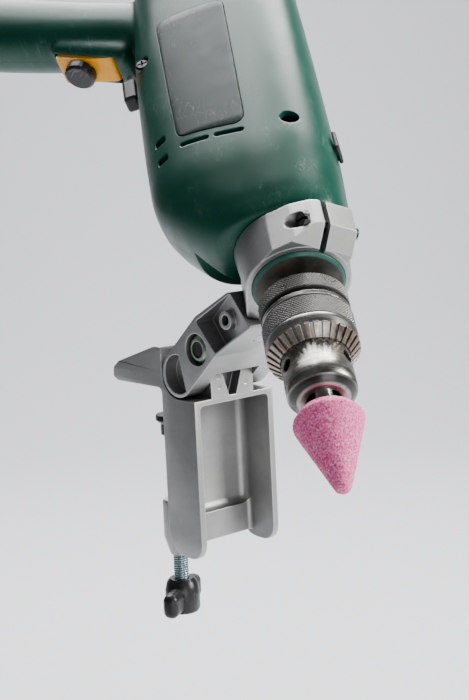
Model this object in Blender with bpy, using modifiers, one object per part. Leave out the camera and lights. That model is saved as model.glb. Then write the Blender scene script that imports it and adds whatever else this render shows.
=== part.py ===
"""Grinding rig: an electric drill held by its neck in a tilting clamp-on holder, with a conical stone.

World: X along the bench edge, Y into the bench, Z up, origin on the upper jaw's clamping face on the
clamp screw's axis.  Lengths below are in millimetres and are scaled to metres as each shape is made.
"""

import math

import bmesh
import bpy
from mathutils import Matrix, Vector

MM = 0.001
ROUND = 20
FINE = 30
COARSE = 16
GAP = 0.3

# Clamp frame
FRAME_LEFT = -25.5
FRAME_RIGHT = 25.5
LEG_FRONT = -50.8
LEG_REAR = -25.2
LEG_BOTTOM = -85.0
SEAT_FLOOR = -4.6
SEAT_RADIUS = 12.7
WALL_TOP = 20.7
FLANGE = 3.3
BOSS_TOP = -66.0
BOSS_END = -96.0
SCREW_RADIUS = 4.0
SCREW_HOLE = 4.08
BOARD_THICKNESS = 20.3

# Tilt hinge
HINGE = Vector((0.0, -38.5, 8.1))
KNUCKLE_RADIUS = 12.3
KNUCKLE_LEFT = -14.6
KNUCKLE_RIGHT = 12.6
PIN_RADIUS = 4.0
PIN_HOLE = 4.06
LOBE_RADIUS = 11.5
FORK_LEFT = -15.0
FORK_RIGHT = 13.0
ARM_RIGHT = 24.5

# Drill axis, collar and swivel
NECK_CENTRE = Vector((-12.45, -114.73, 55.33))
DRILL_AXIS = Vector((-0.4281, -0.6466, -0.6314)).normalized()
SWIVEL_SLOPE = Vector((0.0, 0.6987, -0.7155))
SWIVEL_AXIS = (SWIVEL_SLOPE - DRILL_AXIS * SWIVEL_SLOPE.dot(DRILL_AXIS)).normalized()
COLLAR_LENGTH = 23.0
SWIVEL_BACK = 11.5
NECK_RADIUS = 21.5
COLLAR_BORE = 21.65
FOOT_END = 27.15
ARM_FACE = 27.45
SPIGOT_RADIUS = 6.5
SPIGOT_HOLE = 6.6
SPIGOT_LENGTH = 17.5
CLAMP_E = -26.8
CLAMP_K = -0.5
HANDLE_TURN = math.radians(41.84)

# Motor and gears
MOTOR_OFFSET = 20.0
WALL = 4.0
SHAFT_HOLE = 3.09

PARTS = bpy.data.collections.new("clamp_on_drill_grinder")


def clear_scene():
    for obj in list(bpy.data.objects):
        bpy.data.objects.remove(obj)
    bpy.context.scene.collection.children.link(PARTS)


# Basic shapes


def add(mesh, name="shape"):
    obj = bpy.data.objects.new(name, mesh)
    PARTS.objects.link(obj)
    return obj


def bake(obj, outward=False):
    """Replace the object's mesh by its evaluated one, tidied."""
    graph = bpy.context.evaluated_depsgraph_get()
    mesh = bpy.data.meshes.new_from_object(obj.evaluated_get(graph))
    work = bmesh.new()
    work.from_mesh(mesh)
    bmesh.ops.remove_doubles(work, verts=work.verts, dist=1e-7)
    bmesh.ops.dissolve_degenerate(work, edges=work.edges, dist=1e-7)
    if outward:
        bmesh.ops.recalc_face_normals(work, faces=work.faces)
    work.to_mesh(mesh)
    work.free()
    obj.modifiers.clear()
    obj.data = mesh
    return obj


def solid_of(work):
    mesh = bpy.data.meshes.new("shape")
    bmesh.ops.recalc_face_normals(work, faces=work.faces)
    work.to_mesh(mesh)
    work.free()
    mesh.transform(Matrix.Scale(MM, 4))
    return add(mesh)


def box(x, y, z):
    """A block between two limits on each axis."""
    size = Matrix.Diagonal((x[1] - x[0], y[1] - y[0], z[1] - z[0], 1.0))
    centre = Matrix.Translation(((x[0] + x[1]) / 2, (y[0] + y[1]) / 2, (z[0] + z[1]) / 2))
    work = bmesh.new()
    bmesh.ops.create_cube(work, size=1.0, matrix=centre @ size)
    return solid_of(work)


def pointing(direction, origin):
    """Matrix that takes +Z to a direction and the zero point to an origin."""
    turn = Vector(direction).to_track_quat("Z", "Y").to_matrix().to_4x4()
    return Matrix.Translation(Vector(origin)) @ turn


def rod(radius, start, direction, length, end_radius=None, sides=ROUND):
    """A cylinder or cone from its start along a direction."""
    end = radius if end_radius is None else end_radius
    work = bmesh.new()
    matrix = pointing(direction, start) @ Matrix.Translation((0, 0, length / 2))
    bmesh.ops.create_cone(
        work, cap_ends=True, segments=sides, radius1=radius, radius2=end, depth=length, matrix=matrix
    )
    return solid_of(work)


def turned(profile, start=(0, 0, 0), direction=(0, 0, 1), steps=ROUND, closed=False):
    """A profile of (radius, height) pairs, from the top down its outer side, spun about the axis."""
    work = bmesh.new()
    points = [work.verts.new((radius * MM, 0.0, height * MM)) for radius, height in profile]
    pairs = list(zip(points, points[1:]))
    if closed:
        pairs.append((points[-1], points[0]))
    for pair in pairs:
        work.edges.new(pair)
    mesh = bpy.data.meshes.new("shape")
    work.to_mesh(mesh)
    work.free()
    obj = add(mesh)
    spin = obj.modifiers.new("Spin", "SCREW")
    spin.steps = steps
    spin.render_steps = steps
    spin.use_merge_vertices = True
    spin.merge_threshold = 1e-5
    spin.use_normal_calculate = True
    bake(obj, True)
    place = pointing(direction, start)
    place.translation = place.translation * MM
    obj.data.transform(place)
    return obj


PLANES = {
    "XY": Matrix(((1, 0, 0, 0), (0, 1, 0, 0), (0, 0, 1, 0), (0, 0, 0, 1))),
    "XZ": Matrix(((1, 0, 0, 0), (0, 0, -1, 0), (0, 1, 0, 0), (0, 0, 0, 1))),
    "YZ": Matrix(((0, 0, 1, 0), (1, 0, 0, 0), (0, 1, 0, 0), (0, 0, 0, 1))),
}


def prism(points, low, high, plane="XY"):
    """A flat outline filled and extruded between two limits on the plane's normal."""
    curve = bpy.data.curves.new("outline", "CURVE")
    curve.dimensions = "2D"
    curve.fill_mode = "BOTH"
    curve.extrude = (high - low) * MM / 2
    spline = curve.splines.new("POLY")
    spline.points.add(len(points) - 1)
    for point, (across, up) in zip(spline.points, points):
        point.co = (across * MM, up * MM, 0.0, 1.0)
    spline.use_cyclic_u = True
    guide = bpy.data.objects.new("outline", curve)
    PARTS.objects.link(guide)
    graph = bpy.context.evaluated_depsgraph_get()
    obj = add(bpy.data.meshes.new_from_object(guide.evaluated_get(graph)))
    bpy.data.objects.remove(guide)
    bake(obj, True)
    middle = (low + high) / 2 * (-1 if plane == "XZ" else 1)
    obj.data.transform(PLANES[plane] @ Matrix.Translation((0, 0, middle * MM)))
    return obj


def arc(centre, radius, start, end, count):
    """Points on a circle between two angles in degrees."""
    points = []
    for step in range(count + 1):
        angle = math.radians(start + (end - start) * step / count)
        points.append((centre[0] + radius * math.cos(angle), centre[1] + radius * math.sin(angle)))
    return points


def rounded(corners, pieces=4):
    """An outline whose corners (across, up, radius) are rounded."""
    points = []
    for index, (across, up, radius) in enumerate(corners):
        here = Vector((across, up))
        if radius == 0:
            points.append((across, up))
            continue
        before = (Vector(corners[index - 1][:2]) - here).normalized()
        after = (Vector(corners[(index + 1) % len(corners)][:2]) - here).normalized()
        half = math.acos(max(-1.0, min(1.0, before.dot(after)))) / 2
        centre = here + (before + after).normalized() * (radius / math.sin(half))
        reach = radius / math.tan(half)
        first = here + before * reach - centre
        last = here + after * reach - centre
        sweep = first.angle_signed(last)
        for step in range(pieces + 1):
            turn = Matrix.Rotation(-sweep * step / pieces, 2)
            points.append(tuple(centre + turn @ first))
    return points


def rectangle(x, y, radius=0.0, pieces=3):
    corners = [(x[0], y[0]), (x[1], y[0]), (x[1], y[1]), (x[0], y[1])]
    return rounded([(across, up, radius) for across, up in corners], pieces)


def regular(sides, radius, centre=(0.0, 0.0), turn=0.0):
    return arc(centre, radius, turn, turn + 360.0 * (sides - 1) / sides, sides - 1)


def soften(obj, width, segments=2, angle=40.0):
    """Round the sharp edges."""
    edge = obj.modifiers.new("Soften", "BEVEL")
    edge.width = width * MM
    edge.segments = segments
    edge.limit_method = "ANGLE"
    edge.angle_limit = math.radians(angle)
    return bake(obj)


def combine(obj, tools, operation):
    for tool in tools:
        step = obj.modifiers.new("Combine", "BOOLEAN")
        step.operation = operation
        step.solver = "EXACT"
        step.object = tool
        bake(obj)
        bpy.data.objects.remove(tool)
    return obj


def join(obj, *tools):
    return combine(obj, tools, "UNION")


def cut(obj, *tools):
    return combine(obj, tools, "DIFFERENCE")


def keep(obj, *tools):
    return combine(obj, tools, "INTERSECT")


def twin(obj):
    return add(obj.data.copy())


def section(centre, half, count, power):
    """Points of a rounded rectangle between an ellipse and a square."""
    points = []
    for step in range(count):
        angle = 2 * math.pi * (step + 0.5) / count
        across = math.copysign(abs(math.cos(angle)) ** (2 / power), math.cos(angle))
        up = math.copysign(abs(math.sin(angle)) ** (2 / power), math.sin(angle))
        points.append((centre + half[0] * across, half[1] * up))
    return points


def loft(stations, shrink=0.0, count=24, power=2.7):
    """A body through rounded sections: stations of (z, x low, x high, y half)."""
    work = bmesh.new()
    rings = []
    for height, low, high, half in stations:
        size = ((high - low) / 2 - shrink, half - shrink)
        ring = [
            work.verts.new((x, y, height))
            for x, y in section((low + high) / 2, size, count, power)
        ]
        rings.append(ring)
    for ring in rings:
        for index in range(count):
            work.edges.new((ring[index - 1], ring[index]))
    for below, above in zip(rings, rings[1:]):
        edges = [
            edge
            for edge in work.edges
            if all(vert in below for vert in edge.verts) or all(vert in above for vert in edge.verts)
        ]
        bmesh.ops.bridge_loops(work, edges=edges)
    bmesh.ops.contextual_create(work, geom=rings[0])
    bmesh.ops.contextual_create(work, geom=rings[-1])
    return solid_of(work)


# Placing and finishing


def empty(name, origin, columns, parent=None):
    """A named frame: an origin and its three axes."""
    frame = bpy.data.objects.new(name, None)
    PARTS.objects.link(frame)
    matrix = Matrix.Identity(4)
    for index, column in enumerate(columns):
        for row in range(3):
            matrix[row][index] = column[row]
    matrix.translation = Vector(origin) * MM
    frame.matrix_basis = matrix
    frame.parent = parent
    return frame


def finish(obj, name, frame, look, origin=(0, 0, 0)):
    """Name, colour and place a piece, its own zero point at the origin given."""
    obj.name = name
    obj.data.name = name
    shift = Vector(origin) * MM
    obj.data.transform(Matrix.Translation(-shift))
    obj.location = shift
    obj.parent = frame
    colour, roughness, metallic = look
    material = bpy.data.materials.new(name)
    material.use_nodes = True
    shader = material.node_tree.nodes["Principled BSDF"]
    shader.inputs["Base Color"].default_value = (*colour, 1.0)
    shader.inputs["Roughness"].default_value = roughness
    shader.inputs["Metallic"].default_value = metallic
    obj.data.materials.clear()
    obj.data.materials.append(material)
    obj.data.polygons.foreach_set("material_index", [0] * len(obj.data.polygons))
    obj.data.shade_smooth()
    obj.data.set_sharp_from_angle(angle=math.radians(32))
    return obj


CAST = ((0.50, 0.50, 0.49), 0.42, 1.0)
ZINC = ((0.62, 0.66, 0.66), 0.32, 1.0)
STEEL = ((0.56, 0.56, 0.55), 0.28, 1.0)
BLACK_STEEL = ((0.03, 0.03, 0.03), 0.45, 0.8)
BLACK_PLASTIC = ((0.02, 0.02, 0.022), 0.4, 0.0)
GREEN = ((0.0, 0.075, 0.052), 0.36, 0.0)
DARK_GREEN = ((0.006, 0.022, 0.018), 0.4, 0.0)
ORANGE = ((0.85, 0.33, 0.02), 0.38, 0.0)
COPPER = ((0.6, 0.28, 0.12), 0.4, 1.0)
CARBON = ((0.04, 0.04, 0.04), 0.6, 0.0)
STONE = ((0.62, 0.36, 0.33), 0.95, 0.0)
ACETAL = ((0.75, 0.74, 0.7), 0.5, 0.0)

WORLD_AXES = (Vector((1, 0, 0)), Vector((0, 1, 0)), Vector((0, 0, 1)))


# Clamp frame


def frame_outline():
    """Side outline of the casting, as (y, z)."""
    pivot = (HINGE.y, HINGE.z)
    corners = [
        (LEG_FRONT, LEG_BOTTOM, 12.0),
        (LEG_FRONT, SEAT_FLOOR, 0.0),
    ]
    seat = arc(pivot, SEAT_RADIUS, -90.0, 0.0, 9)
    corners += [(across, up, 0.0) for across, up in seat]
    corners += [
        (-25.8, WALL_TOP, 1.5),
        (-19.5, 20.2, 3.0),
        (9.9, 10.3, 3.0),
        (14.6, 6.8, 2.0),
        (14.9, 1.7, 1.0),
        (11.0, 0.0, 0.0),
        (LEG_REAR, 0.0, 3.0),
        (LEG_REAR, LEG_BOTTOM, 12.0),
    ]
    return rounded(corners)


def front_channel():
    """The hollow of the leg, open to the front and below: its mouth, its deeper upper part, its foot."""
    inner = FRAME_RIGHT - FLANGE
    top = SEAT_FLOOR - 2.6
    mouth = soften(box((-inner, inner), (-62.0, -33.0), (-96.0, top)), 3.5, 3)
    deep = soften(box((-inner + 0.05, inner - 0.05), (-45.0, -29.0), (-67.0, top - 0.05)), 4.5, 3)
    foot = box((-inner + 0.1, inner - 0.1), (-61.0, -15.0), (-95.0, -81.5))
    return mouth, deep, foot


def knuckles():
    """The two hinge lugs of the frame as one block, before the notch between them."""
    pivot = (HINGE.y, HINGE.z)
    outline = [(LEG_FRONT, -6.0)]
    outline += arc(pivot, KNUCKLE_RADIUS, 180.0, 0.0, 16)
    outline += [(-24.8, HINGE.z), (-24.8, -6.0)]
    return prism(outline, KNUCKLE_LEFT, KNUCKLE_RIGHT, "YZ")


def knuckle_notch():
    outline = [(-3.3, -4.3), (1.3, -4.3), (10.1, 22.0), (-12.1, 22.0)]
    return prism(outline, -53.0, -44.8, "XZ")


def jaw_pocket(left, right):
    return soften(box((left, right), (-16.5, 8.5), (4.5, 30.0)), 2.0, 2)


def lower_arm():
    bar = box((-8.0, 8.0), (-29.5, 0.0), (-83.0, -67.0))
    soften(bar, 2.0, 2)
    profile = [(0, BOSS_TOP), (7.0, BOSS_TOP), (7.8, -67.0), (8.0, -86.0), (5.0, BOSS_END), (0, BOSS_END)]
    return join(bar, turned(profile))


def make_clamp_frame(frame):
    body = soften(prism(frame_outline(), FRAME_LEFT, FRAME_RIGHT, "YZ"), 0.6, 1)
    join(body, knuckles())
    cut(body, *front_channel(), knuckle_notch(), jaw_pocket(-21.0, -2.0), jaw_pocket(2.0, 21.0))
    join(body, lower_arm())
    cut(
        body,
        rod(SCREW_HOLE, (0, 0, -100), (0, 0, 1), 45),
        rod(PIN_HOLE, (-20, HINGE.y, HINGE.z), (1, 0, 0), 40),
    )
    return finish(body, "clamp_frame", frame, CAST)


def make_hinge_pin(frame):
    profile = [(0, 41.4), (3.6, 41.4), (PIN_RADIUS, 41.0), (PIN_RADIUS, 0.4), (3.6, 0), (0, 0)]
    pin = turned(profile, (-17.2, 0, 0), (1, 0, 0))
    return finish(pin, "hinge_pin", frame, STEEL)


def make_pressure_pad(frame):
    top = -BOARD_THICKNESS
    profile = [(0, top), (8.4, top), (9.0, top - 0.8), (9.0, top - 3.0), (6.6, top - 5.0), (6.6, -31.0)]
    profile += [(4.3, -31.0), (4.3, top - 4.0), (0, top - 4.0)]
    return finish(turned(profile), "pressure_pad", frame, BLACK_PLASTIC)


def make_clamp_screw(frame):
    top = -BOARD_THICKNESS - 4.3
    profile = [(0, top), (3.2, top), (SCREW_RADIUS, top - 1.0), (SCREW_RADIUS, -116.0)]
    profile += [(3.6, -116.4), (0, -116.4)]
    return finish(turned(profile), "clamp_screw", frame, ZINC)


def knob_lobe(side):
    lobe = soften(box((4.0, 22.0), (-4.2, 4.2), (-126.5, -113.0)), 3.6, 3)
    lobe.data.transform(Matrix.Rotation(math.radians(32 + 180 * side), 4, "Z"))
    return lobe


def make_wing_knob(frame):
    profile = [(0, -109.5), (6.4, -109.5), (8.0, -111.5), (9.2, -116.0), (9.2, -126.0), (8.2, -127.6)]
    profile += [(0, -127.6)]
    knob = join(turned(profile), knob_lobe(0), knob_lobe(1))
    cut(knob, rod(SCREW_RADIUS + 0.1, (0, 0, -116.8), (0, 0, 1), 12))
    return finish(knob, "wing_knob", frame, BLACK_PLASTIC)


# Tilt arm, in the hinge frame: x along the hinge, (y, z) the side view

BAR = Vector((-0.743, 0.669)).normalized()
BAR_TOP = Vector((-BAR.y, BAR.x)) * -1
UPPER = Vector((-0.858, 0.513)).normalized()
UPPER_TOP = Vector((UPPER.y, -UPPER.x))


def bar_point(along, across):
    """A side-view point from its place along the lower bar and across it."""
    return tuple(BAR * along + BAR_TOP * across)


def face_offset():
    """Middle of the arm's end face, counted from the hinge."""
    return NECK_CENTRE - DRILL_AXIS * SWIVEL_BACK + SWIVEL_AXIS * ARM_FACE - HINGE


def arm_outline():
    end = face_offset()
    across = Vector((-SWIVEL_AXIS.z, SWIVEL_AXIS.y)).normalized()
    middle = Vector((end.y, end.z))
    top = middle + across * 12.0
    low = middle - across * 10.1
    start = math.degrees(math.atan2(8.6, 7.6))
    lobe = arc((0.0, 0.0), LOBE_RADIUS, start, start - 180.7, 16)
    corners = [(top.x, top.y, 1.0), (-16.0, 29.9, 6.0)]
    corners += [(*point, 0.0) for point in lobe]
    corners += [(-29.2, 11.3, 3.0), (low.x, low.y, 1.0)]
    return rounded(corners)


def fork_slot():
    """Room for the frame's lugs between the two lobes."""
    outline = [
        bar_point(-20, -20),
        bar_point(13.3, -20),
        bar_point(13.3, -9.0),
        bar_point(30, -9.0),
        bar_point(30, 22),
        bar_point(-20, 22),
    ]
    return prism(outline, FORK_LEFT, FORK_RIGHT, "YZ")


def lobe_pocket():
    """The flat-sided recess in the left face round the hinge."""
    circle = arc((0.0, 0.0), LOBE_RADIUS - 1.6, 100.0, -130.0, 20)
    return prism(circle, FRAME_LEFT - 3.0, FRAME_LEFT + 7.5, "YZ")


def upper_pocket():
    """The recess in the left face of the upper block, its floor rising to the end face."""
    end = face_offset()
    across = Vector((-SWIVEL_AXIS.z, SWIVEL_AXIS.y)).normalized()
    middle = Vector((end.y, end.z))
    top = middle + across * 10.7
    low = middle - across * 8.8
    outline = rounded([(-16.2, 27.6, 1.0), (top.x, top.y, 0.0), (low.x, low.y, 0.0), (-30.0, 13.2, 1.0)])
    cutter = prism(outline, -40.0, FRAME_LEFT + 10.0, "YZ")
    run = (middle - Vector((-23.1, 20.4))).length
    slope = 10.0 / run
    shear = Matrix.Identity(4)
    direction = (middle - Vector((-23.1, 20.4))).normalized()
    shear[0][1] = -slope * direction.x
    shear[0][2] = -slope * direction.y
    start = Vector((0.0, -23.1, 20.4)) * MM
    cutter.data.transform(Matrix.Translation(start) @ shear @ Matrix.Translation(-start))
    return cutter


def right_relief():
    """The step on the right side where the upper block is narrower than the fork."""
    outline = [(30.0, 27.0), (30.0, 24.6), (45.0, 10.0), (90.0, 10.0), (90.0, 27.0)]
    cutter = prism(outline, -40.0, 40.0, "XY")
    matrix = Matrix.Identity(4)
    columns = ((0.0, UPPER.x, UPPER.y), (1.0, 0.0, 0.0), (0.0, UPPER_TOP.x, UPPER_TOP.y))
    for index, column in enumerate(columns):
        for row in range(3):
            matrix[row][index] = column[row]
    cutter.data.transform(matrix)
    return bake(cutter, True)


LOCK_Y = -38.5
LOCK_Z = 29.8
PINCH = bar_point(20.7, -0.3)


def make_tilt_arm(frame):
    end = face_offset()
    body = soften(prism(arm_outline(), FRAME_LEFT, ARM_RIGHT, "YZ"), 0.5, 1)
    cut(body, fork_slot(), right_relief(), lobe_pocket(), upper_pocket())
    boss = rod(4.3, (FRAME_LEFT, LOCK_Y, LOCK_Z), (1, 0, 0), 12.0, 5.8, 24)
    join(body, boss)
    cut(
        body,
        rod(8.0, (-30, *PINCH), (1, 0, 0), 11.5, sides=20),
        rod(4.2, (-30, *PINCH), (1, 0, 0), 70, sides=20),
        rod(8.6, (17.5, *PINCH), (1, 0, 0), 12, sides=20),
        rod(PIN_HOLE, (-17.5, 0, 0), (1, 0, 0), 50),
        rod(2.6, (-30, LOCK_Y, LOCK_Z), (1, 0, 0), 21, sides=20),
        rod(SPIGOT_HOLE, end - SWIVEL_AXIS * 3, SWIVEL_AXIS, 3 + SPIGOT_LENGTH + 1.2),
    )
    return finish(body, "tilt_arm", frame, CAST)


def make_pinch_parts(frame):
    """The bolt that squeezes the fork on the hinge, with its nut and washer."""
    seat = Matrix.Translation((0, PINCH[0] * MM, PINCH[1] * MM))
    bolt = prism(regular(6, 7.5), 19.8, 25.2, "YZ")
    shank = [(0, 20.2), (4.0, 20.2), (4.0, -25.4), (3.5, -25.9), (0, -25.9)]
    join(bolt, turned(shank, (0, 0, 0), (1, 0, 0), 20))
    bolt.data.transform(seat)
    finish(bolt, "pinch_bolt", frame, BLACK_STEEL, (0, *PINCH))
    nut = prism(regular(6, 7.5, PINCH, 12.0), -24.7, -18.8, "YZ")
    cut(nut, rod(4.05, (-30, *PINCH), (1, 0, 0), 20, sides=20))
    finish(nut, "pinch_nut", frame, ZINC, (0, *PINCH))
    washer = rod(8.2, (17.8, *PINCH), (1, 0, 0), 1.6, sides=20)
    cut(washer, rod(4.3, (10, *PINCH), (1, 0, 0), 20, sides=20))
    finish(washer, "pinch_washer", frame, ZINC, (0, *PINCH))


def make_swivel_lock_screw(frame):
    profile = [(0, 9.6), (2.0, 9.6), (2.5, 9.0), (2.5, 0.4), (2.2, 0), (0, 0)]
    screw = turned(profile, (0, 0, 0), (1, 0, 0), 20)
    cut(screw, prism(regular(6, 1.45), -1.0, 2.6, "YZ"))
    screw.data.transform(Matrix.Translation((-23.0 * MM, LOCK_Y * MM, LOCK_Z * MM)))
    return finish(screw, "swivel_lock_screw", frame, BLACK_STEEL, (-23.0, LOCK_Y, LOCK_Z))


# Collar, in the swivel frame: x from the drill axis toward the arm, y across, z along the drill axis


def make_collar(frame):
    front = SWIVEL_BACK
    rear = SWIVEL_BACK - COLLAR_LENGTH
    body = turned([(0, front), (23.9, front), (24.3, front - 0.5), (26.6, rear), (0, rear)], steps=FINE)
    foot = [(FOOT_END, 13.2), (12.0, 21.2), (0.0, 20.0), (0.0, -20.0), (12.0, -21.2), (FOOT_END, -13.2)]
    lugs = rounded(
        [
            (-8.0, -23.0, 0.0),
            (-15.7, -21.5, 3.0),
            (-25.1, -14.3, 3.0),
            (-30.8, -6.5, 2.0),
            (-31.8, -3.2, 0.0),
            (-31.8, 15.0, 1.0),
            (-18.0, 15.5, 0.0),
            (-8.0, 21.0, 0.0),
        ],
        3,
    )
    pad = soften(prism(foot, rear + 0.4, front - 0.4), 0.5)
    join(body, pad, prism(lugs, rear + 0.2, front - 0.2))
    slope = [(-22.8, front + 0.5), (-50.0, front + 0.5), (-50.0, front - 26.7)]
    cut(
        body,
        prism(slope, -45.0, 45.0, "XZ"),
        rod(COLLAR_BORE, (0, 0, rear - 5), (0, 0, 1), COLLAR_LENGTH + 10, sides=FINE),
        box((-40.0, -12.0), (-1.5, 1.5), (rear - 5, front + 5)),
        rod(3.1, (CLAMP_E, -30, CLAMP_K), (0, 1, 0), 60, sides=16),
        rod(4.7, (CLAMP_E, -30, CLAMP_K), (0, 1, 0), 20.5, sides=20),
    )
    spigot = [
        (0, FOOT_END + SPIGOT_LENGTH),
        (5.7, FOOT_END + SPIGOT_LENGTH),
        (SPIGOT_RADIUS, FOOT_END + SPIGOT_LENGTH - 0.8),
        (SPIGOT_RADIUS, FOOT_END + 15.0),
        (5.4, FOOT_END + 14.2),
        (5.4, FOOT_END + 8.6),
        (SPIGOT_RADIUS, FOOT_END + 7.8),
        (SPIGOT_RADIUS, FOOT_END - 2.5),
        (0, FOOT_END - 2.5),
    ]
    join(body, turned(spigot, (0, 0, 0), (1, 0, 0)))
    return finish(body, "collar", frame, CAST)


def make_collar_screw(frame):
    """Slotted screw that draws the split collar together, tapped into its right lug."""
    profile = [(0, -9.9), (4.3, -9.9), (4.3, -12.6), (3.8, -13.2), (0, -13.2)]
    screw = turned([(radius, -height) for radius, height in profile], (0, 0, 0), (0, -1, 0), 20)
    join(screw, rod(2.9, (0, -10.5, 0), (0, 1, 0), 28.2, sides=16))
    cut(screw, box((-7, 7), (-15, -11.8), (-0.7, 0.7)))
    screw.data.transform(Matrix.Translation((CLAMP_E * MM, 0, CLAMP_K * MM)))
    finish(screw, "collar_clamp_screw", frame, BLACK_STEEL, (CLAMP_E, 0, CLAMP_K))


# Drill, in its own frame: x toward the handle, y to the left side, z along the chuck

BODY = [
    (-252.0, -10.0, 34.0, 15.0),
    (-247.0, -22.0, 46.0, 24.0),
    (-235.0, -30.0, 54.0, 31.0),
    (-200.0, -31.0, 58.0, 32.0),
    (-155.0, -31.5, 61.0, 32.5),
    (-70.0, -31.5, 61.0, 32.5),
    (-58.0, -31.0, 58.5, 32.0),
    (-48.0, -30.5, 53.5, 31.0),
    (-38.0, -30.0, 46.5, 30.0),
    (-30.0, -29.5, 39.5, 28.5),
    (-24.0, -28.0, 33.0, 27.0),
]
GRIP = [
    (-92.0, -16.0, 14.0, 12.0),
    (-88.0, -22.0, 19.0, 16.5),
    (-60.0, -23.0, 19.5, 18.0),
    (-20.0, -23.0, 17.5, 17.5),
    (0.0, -23.5, 15.5, 17.0),
    (36.0, -24.0, 12.0, 17.0),
    (62.0, -24.0, 14.0, 16.0),
]
GRIP_CENTRE = Vector((93.0, 0.0, -229.0))
GRIP_FRONT = Vector((0.522, 0.0, 0.853)).normalized()
GRIP_UP = Vector((-0.853, 0.0, 0.522)).normalized()


def grip_matrix():
    matrix = Matrix.Identity(4)
    columns = (GRIP_FRONT, Vector((0, 1, 0)), GRIP_UP)
    for index, column in enumerate(columns):
        for row in range(3):
            matrix[row][index] = column[row]
    matrix.translation = GRIP_CENTRE * MM
    return matrix


def in_grip(obj):
    obj.data.transform(grip_matrix())
    return obj


def between(stations, height):
    """The section at a height, from the stations below and above it."""
    for below, above in zip(stations, stations[1:]):
        if below[0] <= height <= above[0]:
            part = (height - below[0]) / (above[0] - below[0])
            return (height, *(low + (high - low) * part for low, high in zip(below[1:], above[1:])))
    raise ValueError("height outside the stations")


def hollow(stations, shrink, front):
    """The stations of a housing's inside, ended short of both ends."""
    low = stations[0][0] + shrink
    high = stations[-1][0] - front
    inside = [station for station in stations if low + 1.0 < station[0] < high - 1.0]
    return [between(stations, low), *inside, between(stations, high)]


PANEL = ((41.0, -180.0), (4.0, -180.0), (5.0, -81.5), (38.5, -87.0))
SCREWS = ((-15.6, -80.0), (52.5, -159.5), (-20.0, -222.0), (139.0, -256.0))


def panel_outline(extra):
    middle = Vector((22.0, -133.0))
    corners = []
    for across, along in PANEL:
        across += math.copysign(extra, across - middle.x)
        along += math.copysign(extra, along - middle.y)
        corners.append((across, along, 5.0 + extra))
    return rounded(corners, 4)


def panel_recess(side):
    """What the housing gives up for a side panel."""
    recess = prism(panel_outline(GAP), *sorted((side * 20.0, side * 45.0)), "XZ")
    return cut(recess, loft(BODY, 2.2))


def make_side_panel(name, side, frame):
    panel = prism(panel_outline(0.0), *sorted((side * 20.0, side * 45.0)), "XZ")
    keep(panel, loft(BODY, -0.4))
    cut(panel, loft(BODY, 1.9))
    return finish(panel, name, frame, DARK_GREEN)


def vent(low, high, rear, front, side, slant=0.0):
    reach = sorted((side * 18.0, side * 45.0))
    corners = [(low, rear + slant, 1.4), (high, rear, 1.4), (high, front, 1.4), (low, front + slant, 1.4)]
    return prism(rounded(corners, 2), *reach, "XZ")


def vents(side):
    """Cooling slots ahead of the panel and along the lower edge."""
    slots = [vent(6.0, 20.8, -80.6, -77.4, side, 2.2), vent(23.2, 38.0, -82.8, -79.6, side, 2.2)]
    slots += [vent(45.5, 50.5, rear, rear + 4.0, side) for rear in (-96.0, -88.0, -80.0)]
    slots += [vent(10.0, 36.0, rear, rear + 4.0, side) for rear in (-214.0, -222.0)]
    return slots


def arm_clearance():
    """The flat on the housing's front end that clears the arm as the collar swivels."""
    block = box((27.0, 60.0), (-45.0, 45.0), (-34.0, -20.0))
    turn = Matrix.Rotation(math.pi / 2 - HANDLE_TURN, 4, "Z")
    block.data.transform(turn)
    return block


def make_housing(frame):
    shell = join(loft(BODY), in_grip(loft(GRIP)))
    inside = join(loft(hollow(BODY, WALL, 12.0), WALL), in_grip(loft(hollow(GRIP, WALL, WALL), WALL)))
    cut(shell, inside)
    cut(
        shell,
        rod(NECK_RADIUS + GAP, (0, 0, -40), (0, 0, 1), 30, sides=FINE),
        in_grip(box((5.0, 40.0), (-9.2, 9.2), (-1.0, 38.5))),
        in_grip(rod(5.3, (-4.0, 0, -100), (0, 0, 1), 20, sides=20)),
        box((48.0, 66.0), (-2.4, 2.4), (-179.0, -171.0)),
        box((61.5, 72.0), (-7.5, 7.5), (-184.0, -158.5)),
        arm_clearance(),
        box((-36.0, -24.0), (-3.4, 3.4), (-82.0, -65.4)),
    )
    right = twin(shell)
    cut(right, box((-80, 260), (-0.12, 60), (-340, 20)), panel_recess(-1), *vents(-1))
    for x, z in SCREWS:
        cut(
            right,
            rod(4.4, (x, -45, z), (0, 1, 0), 24 if x < 100 else 33, sides=20),
            rod(2.3, (x, -45, z), (0, 1, 0), 60, sides=20),
        )
    finish(right, "housing_right", frame, GREEN)
    left = shell
    cut(left, box((-80, 260), (-60, 0.12), (-340, 20)), panel_recess(1), *vents(1))
    finish(left, "housing_left", frame, GREEN)


def make_housing_screws(frame):
    for index, (x, z) in enumerate(SCREWS):
        floor = -45 + (24 if x < 100 else 33)
        head = turned([(0, 3.1), (3.0, 3.1), (3.9, 2.2), (3.9, 0.3), (0, 0.3)], (0, 0, 0), (0, -1, 0), 12)
        join(head, rod(1.9, (0, -0.8, 0), (0, 1, 0), 9.0, sides=8))
        cut(head, box((-2.6, 2.6), (-4.0, -2.0), (-0.5, 0.5)), box((-0.5, 0.5), (-4.0, -2.0), (-2.6, 2.6)))
        head.data.transform(Matrix.Translation((x * MM, floor * MM, z * MM)))
        finish(head, f"housing_screw_{index + 1}", frame, ZINC, (x, floor, z))


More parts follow.
